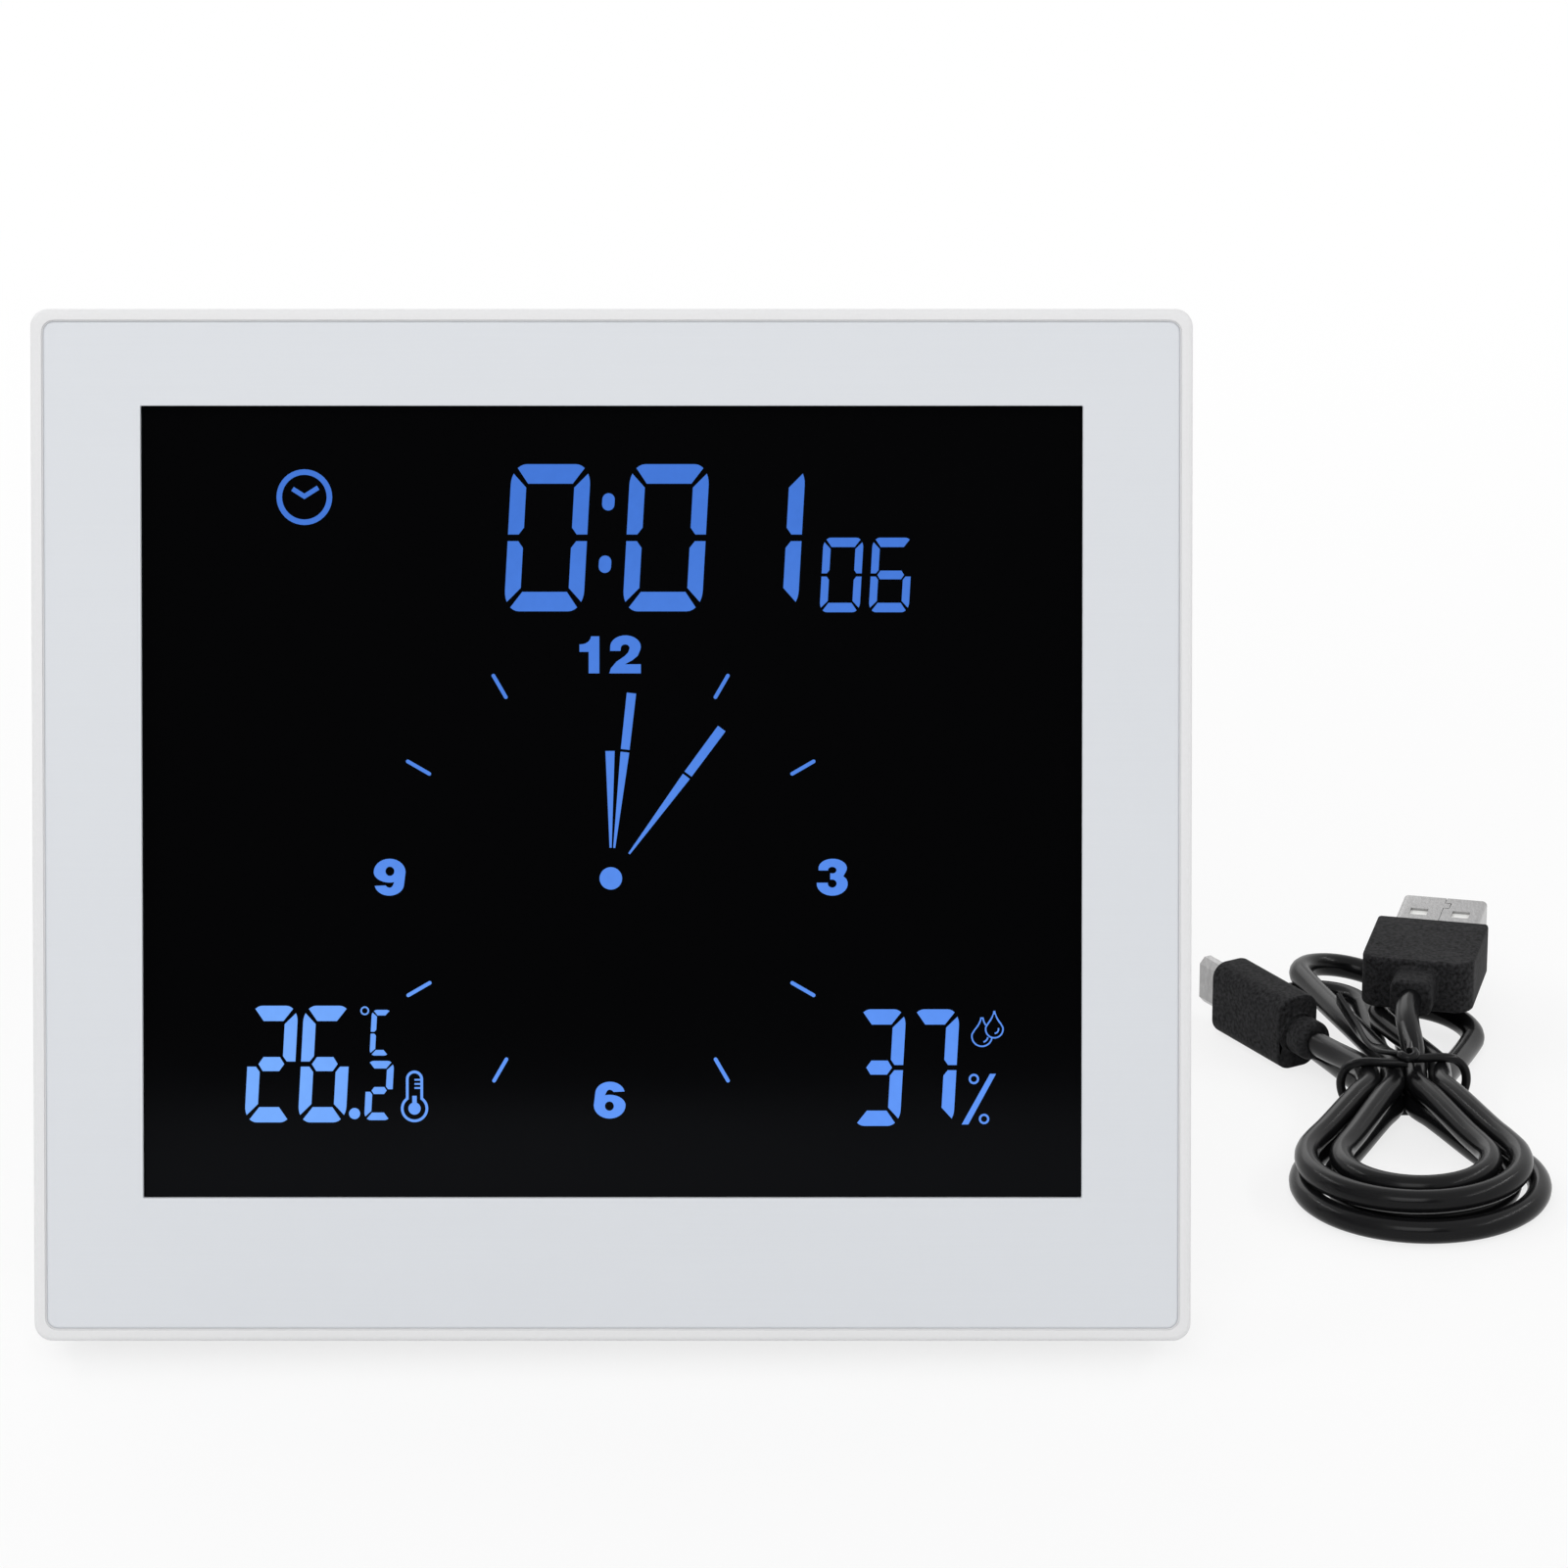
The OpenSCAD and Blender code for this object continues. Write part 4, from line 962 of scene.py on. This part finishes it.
def dial_mark():
    shapes = [circle_points(dial_x, dial_z, hub_r)]
    for hour in range(12):
        if hour % 3:
            inner, outer = dial_point(tick_from, 30 * hour), dial_point(tick_to, 30 * hour)
            shapes.append(round_bar(*inner, *outer, tick_w))
    for angle in long_hands:
        shapes.append(hand(angle, hand_from, long_break, hand_from_w, long_break_w))
        shapes.append(hand(angle, long_again, long_to, long_break_w, long_to_w))
    shapes.append(hand(short_hand, hand_from, short_to, hand_from_w, short_to_w))
    numerals = [numeral(*place) for place in dial_numerals]
    lit_mark("display_dial", [flat_plate(shapes), *numerals])


def temperature_mark():
    point_r, degree_r, degree_w = 0.71, 0.56, 0.2
    shapes = figures((("2", -43.4), ("6", -36.6)), temperature_z, climate_figure)
    shapes.append(circle_points(-32.83, 28.84, point_r))
    shapes += digit("2", -29.7, tenth_z, *tenth_figure)
    shapes += digit("C", -29.5, unit_z, *unit_figure)
    shapes += ring(-31.5, 41.95, degree_r, degree_w)
    lit_mark("display_temperature", [flat_plate(shapes)])


def thermometer_icon():
    x, z = -25.2, 29.48
    bulb, tube, line, tube_top = 1.74, 1.09, 0.34, 3.75
    ball_r, column_low, column_high, column_w = 0.78, 0.5, 1.62, 0.56
    marks, mark_l, mark_w = (2.62, 3.14, 3.67), 0.75, 0.22

    def outline(inset):
        """Bulb and tube in one, that far in from their edge."""
        r, half = bulb - inset, tube - inset
        corner = math.degrees(math.acos(half / r))
        return (
            circle_points(x, z + tube_top, half, start=180, sweep=-180, steps=16)
            + circle_points(x, z, r, start=corner, sweep=-180 - 2 * corner, steps=32)
        )

    plates = [flat_plate([outline(0), outline(line), circle_points(x, z, ball_r)])]
    column = [(x, z + column_low), (x, z + column_high)]
    plates.append(flat_plate([stroke(column, column_w)]))
    for height in marks:
        mark = [(x, z + height), (x + mark_l, z + height)]
        plates.append(flat_plate([stroke(mark, mark_w)]))
    lit_mark("display_thermometer", plates)


def drop(x, z, radius, tip):
    """Outline of a drop from its blunt tip round to its tip again, its flanks curved in."""
    blunt, flare, curl, flank_low, shoulder = 0.1, 1.02, 1.6, 0.2, 12
    flank = [
        (radius * (blunt + flare * t ** curl), tip - (tip - flank_low * radius) * t)
        for t in (0, 0.15, 0.3, 0.45, 0.6, 0.75)
    ]
    belly = circle_points(0, 0, radius, start=shoulder, sweep=-180 - 2 * shoulder, steps=26)
    left = [(-a, b) for a, b in reversed(flank)]
    return [(x + a, z + b) for a, b in [*flank, *belly, *left]]


def drop_rim(x, z, radius, tip, line):
    tip_line = 2.4 * line
    return [drop(x, z, radius, tip), drop(x, z, radius - line, tip - tip_line)]


def humidity_mark():
    shapes = figures((("3", 33.9), ("7", 40.7)), humidity_z, climate_figure)
    lit_mark("display_humidity", [flat_plate(shapes)])


def humidity_icons():
    """A drop in front of another, each with a highlight, and a percent sign."""
    line = 0.19
    front_x, front_z, front_r, front_tip = 48.54, 39.6, 1.2, 2.33
    back_x, back_z, back_r, back_tip = 46.97, 38.7, 1.38, 2.5
    overlap = 0.08
    slash = [(44.4, 27.45), (45.25, 27.45), (48.75, 33.9), (48.0, 33.9)]
    percent_r, percent_w = 0.66, 0.27
    plates = [flat_plate(drop_rim(front_x, front_z, front_r, front_tip, line))]
    back = [
        (x, z) for x, z in drop(back_x, back_z, back_r - line / 2, back_tip - line)
        if math.hypot(x - front_x, z - front_z) > front_r - overlap
    ]
    start = max(range(len(back)), key=lambda i: math.dist(back[i - 1], back[i]))
    plates.append(flat_plate([stroke(back[start:] + back[:start], line)]))
    for highlight in (
        circle_points(front_x, front_z, 0.45 * front_r, start=15, sweep=-100, steps=8),
        circle_points(back_x, back_z, 0.55 * back_r, start=-10, sweep=-65, steps=8),
    ):
        plates.append(flat_plate([stroke(highlight, line)]))
    plates.append(flat_plate([slash]))
    for x, z in ((45.95, 33.25), (47.25, 28.15)):
        plates.append(flat_plate(ring(x, z, percent_r, percent_w)))
    lit_mark("display_humidity_icons", plates)


make_glue_bead()
time_mark()
day_mark()
clock_icon()
dial_mark()
temperature_mark()
thermometer_icon()
humidity_mark()
humidity_icons()


# Seam on top of the large plug's pressed shell: places across it and back from its mouth
seam = [
    (0.22, -0.2), (0.22, 1.96), (1.1, 1.96), (1.1, 3.9), (0.24, 3.9), (0.24, 9.6), (1.05, 9.6),
    (1.05, 11.6), (0.2, 11.6), (0.2, 12.1),
]
seam_w, seam_d = 0.14, 0.16
shell_a_mouth = 28.7
shell_a_top = 2.25


def cut_seam(shell):
    """Cuts the seam as a fine groove into the shell."""
    line = stroke([(x, shell_a_mouth - y) for x, y in seam], seam_w)
    cutter = flat_plate([line], 2 * seam_d)
    place = Matrix.Translation((tie_at + plug_a_at + Vector((0, 0, shell_a_top))) * mm)
    settle(cutter, place @ Matrix.Rotation(plug_a_turn, 4, "Z"))
    apply_modifier(shell, "BOOLEAN", operation="DIFFERENCE", object=cutter, solver="EXACT")
    remove(cutter)
    smooth(shell)


shell_a = moulded("plug_a_shell")
cut_seam(shell_a)


# Tie round the lead, in millimetres from its middle
tie_wire_d = 1.28
tie_resolution = 4
tie_ribbon_w, tie_ribbon_t = 2.3, 0.75
tie_steps = 5
tie_smooth_angle = math.radians(40)
tie_loop = [
    (0.4, -1.9, 8.75), (-2.6, -1.6, 8.65), (-5, -0.9, 8.5), (-7, -0.3, 7.95), (-8.25, 0, 6.7),
    (-8.6, 0.2, 4.7), (-7.9, 0.3, 2.5), (-6.3, 0.3, 1.05), (-4, 0.3, 0.65), (0, 0.4, 0.65),
    (4, 0.5, 0.65), (6.3, 0.7, 1.05), (8, 0.9, 2.5), (8.75, 1.1, 4.7), (8.4, 1.3, 6.7),
    (7.1, 1.2, 8), (5.1, 0.7, 8.5), (2.8, 0.1, 8.65), (0.9, -0.5, 8.85),
]
tie_knot = [
    (0.9, -0.5, 8.85), (-0.3, -0.9, 9.5), (-0.5, -1.9, 9.9), (0.4, -2.5, 9.7), (1.3, -2, 9.9),
    (1.2, -0.9, 10.1),
]
# Places along the flat ends, each with its turn about the way it runs, in degrees
tie_end_left = [
    ((0, -1.2, 9.3), 60), ((-1.6, 0.6, 9.2), 20), ((-3.3, 2.8, 9), 5), ((-4.6, 5.6, 8.8), 50),
    ((-5.7, 9.2, 9.2), 80), ((-6.8, 12.8, 10), 85), ((-7.9, 16.2, 10.9), 85),
]
tie_end_right = [
    ((0.9, -1.3, 9.8), 60), ((0.95, 0.6, 9.9), 75), ((0.75, 3, 9.75), 85), ((0.6, 5.6, 9.7), 85),
    ((0.5, 8, 9.9), 85),
]


def tie_line(places):
    """A smooth line through places given from the tie's middle, in metres."""
    return [(tie_at + p) * mm for p in curve_through([Vector(place) for place in places], tie_steps)]


def tie_ribbon(name, stations):
    """A flat strip with rounded edges along the stations, turning as it goes."""
    half_w, half_t = tie_ribbon_w / 2, tie_ribbon_t / 2
    flat = half_w - half_t
    edge = (
        circle_points(flat, 0, half_t, start=-90, sweep=180, steps=8)
        + circle_points(-flat, 0, half_t, start=90, sweep=180, steps=8)
    )
    profile = outline_curve("tie_ribbon_profile", edge)
    curve = bpy.data.curves.new(name, "CURVE")
    curve.dimensions = "3D"
    curve.bevel_mode = "OBJECT"
    curve.bevel_object = profile
    curve.use_fill_caps = True
    spline = add_spline(curve, tie_line([place for place, turn in stations]))
    turns = curve_through([Vector((turn, 0, 0)) for place, turn in stations], tie_steps)
    for point, turn in zip(spline.points, turns):
        point.tilt = math.radians(turn.x)
    ribbon = to_mesh(add_object(name, curve))
    remove(profile)
    return ribbon


def tie_wire(name, places):
    """A round wire through the places."""
    return to_mesh(round_wire(name, tie_line(places), tie_wire_d, tie_resolution))


def make_tie():
    """A coated wire round the strands, knotted on top, its two flat ends left standing."""
    tie = join("lead_tie", [
        tie_wire("tie_loop", tie_loop),
        tie_wire("tie_knot", tie_knot),
        tie_ribbon("tie_end_left", tie_end_left),
        tie_ribbon("tie_end_right", tie_end_right),
    ])
    close_seams(tie)
    smooth(tie, tie_smooth_angle)
    dress(tie, finishes["cord_black"], "case")
    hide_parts("cord_tie")
    return tie


lead_tie = make_tie()
lead_points = lead_line()
lead_cord = round_wire("lead_cord", lead_points, cord_d, cord_resolution)
dress(lead_cord, finishes["cord_black"], "case")
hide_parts("lead_a", "lead_b", "cord_hank")


# Studio
world_light = 0.54
floor_size = 12
floor_drop = 0.05 * mm
floor_grey = 0.9
# The floor's own shading fades out between these distances, from this share of plain white on
veil_from, veil_to, veil_share = 0.12, 0.5, 0.78


def background_ray(tree, link):
    """1 for what the camera, a reflection or glass sees of the background, 0 for its light."""
    path = tree.new("ShaderNodeLightPath")
    first = tree.new("ShaderNodeMath")
    first.operation = "MAXIMUM"
    both = tree.new("ShaderNodeMath")
    both.operation = "MAXIMUM"
    link(path.outputs["Is Camera Ray"], first.inputs[0])
    link(path.outputs["Is Glossy Ray"], first.inputs[1])
    link(first.outputs[0], both.inputs[0])
    link(path.outputs["Is Transmission Ray"], both.inputs[1])
    return both.outputs[0]


def make_world():
    world = bpy.data.worlds.new("studio")
    bpy.context.scene.world = world
    world.use_nodes = True
    tree, link = world.node_tree.nodes, world.node_tree.links.new
    strength = tree.new("ShaderNodeMapRange")
    strength.inputs["To Min"].default_value = world_light
    strength.inputs["To Max"].default_value = 1
    link(background_ray(tree, link), strength.inputs["Value"])
    background = tree["Background"]
    background.inputs["Color"].default_value = (1, 1, 1, 1)
    link(strength.outputs["Result"], background.inputs["Strength"])


def make_floor():
    """A matt floor that turns plain white with distance, to the camera and in reflections."""
    deselect()
    bpy.ops.mesh.primitive_plane_add(size=floor_size, location=(0, 0, -floor_drop))
    floor = bpy.context.object
    floor.name = "floor"
    finish = Finish("floor_white")
    tree, link = finish.tree, finish.link
    tree.remove(finish.shader)
    matt = finish.node("BsdfDiffuse")
    matt.inputs["Color"].default_value = (floor_grey, floor_grey, floor_grey, 1)
    glow = finish.node("Emission")
    coords = finish.node("TexCoord")
    reach = finish.node("VectorMath", operation="LENGTH")
    veil = finish.node("MapRange", interpolation_type="SMOOTHSTEP")
    veil.inputs["From Min"].default_value = veil_from
    veil.inputs["From Max"].default_value = veil_to
    veil.inputs["To Min"].default_value = veil_share
    veil.inputs["To Max"].default_value = 1
    share = finish.node("Math", operation="MULTIPLY")
    mix = finish.node("MixShader")
    link(coords.outputs["Object"], reach.inputs[0])
    link(reach.outputs["Value"], veil.inputs["Value"])
    link(veil.outputs["Result"], share.inputs[0])
    link(background_ray(tree, link), share.inputs[1])
    link(share.outputs[0], mix.inputs["Fac"])
    link(matt.outputs[0], mix.inputs[1])
    link(glow.outputs[0], mix.inputs[2])
    link(mix.outputs[0], tree["Material Output"].inputs["Surface"])
    floor.data.materials.append(finish.material)


def make_lamp(name, place, aim, size, power):
    """A rectangular lamp that faces its aim; all in metres and watts."""
    bpy.ops.object.light_add(type="AREA", location=place)
    lamp = bpy.context.object
    lamp.name = name
    lamp.data.shape = "RECTANGLE"
    lamp.data.size, lamp.data.size_y = size
    lamp.data.energy = power
    lamp.rotation_mode = "QUATERNION"
    lamp.rotation_quaternion = (Vector(aim) - Vector(place)).to_track_quat("-Z", "Y")


def make_flag():
    """A dark card in front that the display mirrors, down to where the light band starts."""
    # Slopes of the sight lines to its lower and upper edge
    low, high = math.tan(math.radians(13)), math.tan(math.radians(42))
    away, width, lift = 1.5, 1.4, 0.03
    deselect()
    bpy.ops.mesh.primitive_plane_add(size=1)
    flag = bpy.context.object
    flag.name = "dark_card"
    flag.scale = (width, away * (high - low), 1)
    flag.rotation_euler = (math.pi / 2, 0, 0)
    flag.location = (0, -away, away * (high + low) / 2 + lift)
    settle(flag)
    finish = Finish("dark_card")
    finish.set(
        Base_Color=(0, 0, 0, 1), Specular_IOR_Level=0,
        Emission_Color=(0.12, 0.12, 0.13, 1), Emission_Strength=1,
    )
    flag.data.materials.append(finish.material)
    flag.visible_camera = False
    flag.visible_diffuse = False
    flag.visible_transmission = False
    flag.visible_shadow = False


make_world()
make_floor()
make_lamp("key_lamp", place=(-0.12, -1.25, 1.05), aim=(0.03, 0, 0.05), size=(0.9, 0.9), power=7.75)
for side, x in (("left", -0.75), ("right", 0.95)):
    make_lamp(side + "_strip", place=(x, 0.1, 0.8), aim=(0.1, 0.05, 0), size=(1.4, 0.035), power=2.8)
make_lamp("back_lamp", place=(-0.3, 1.3, 0.8), aim=(0, 0, 0.05), size=(1.0, 0.6), power=2.5)
make_flag()
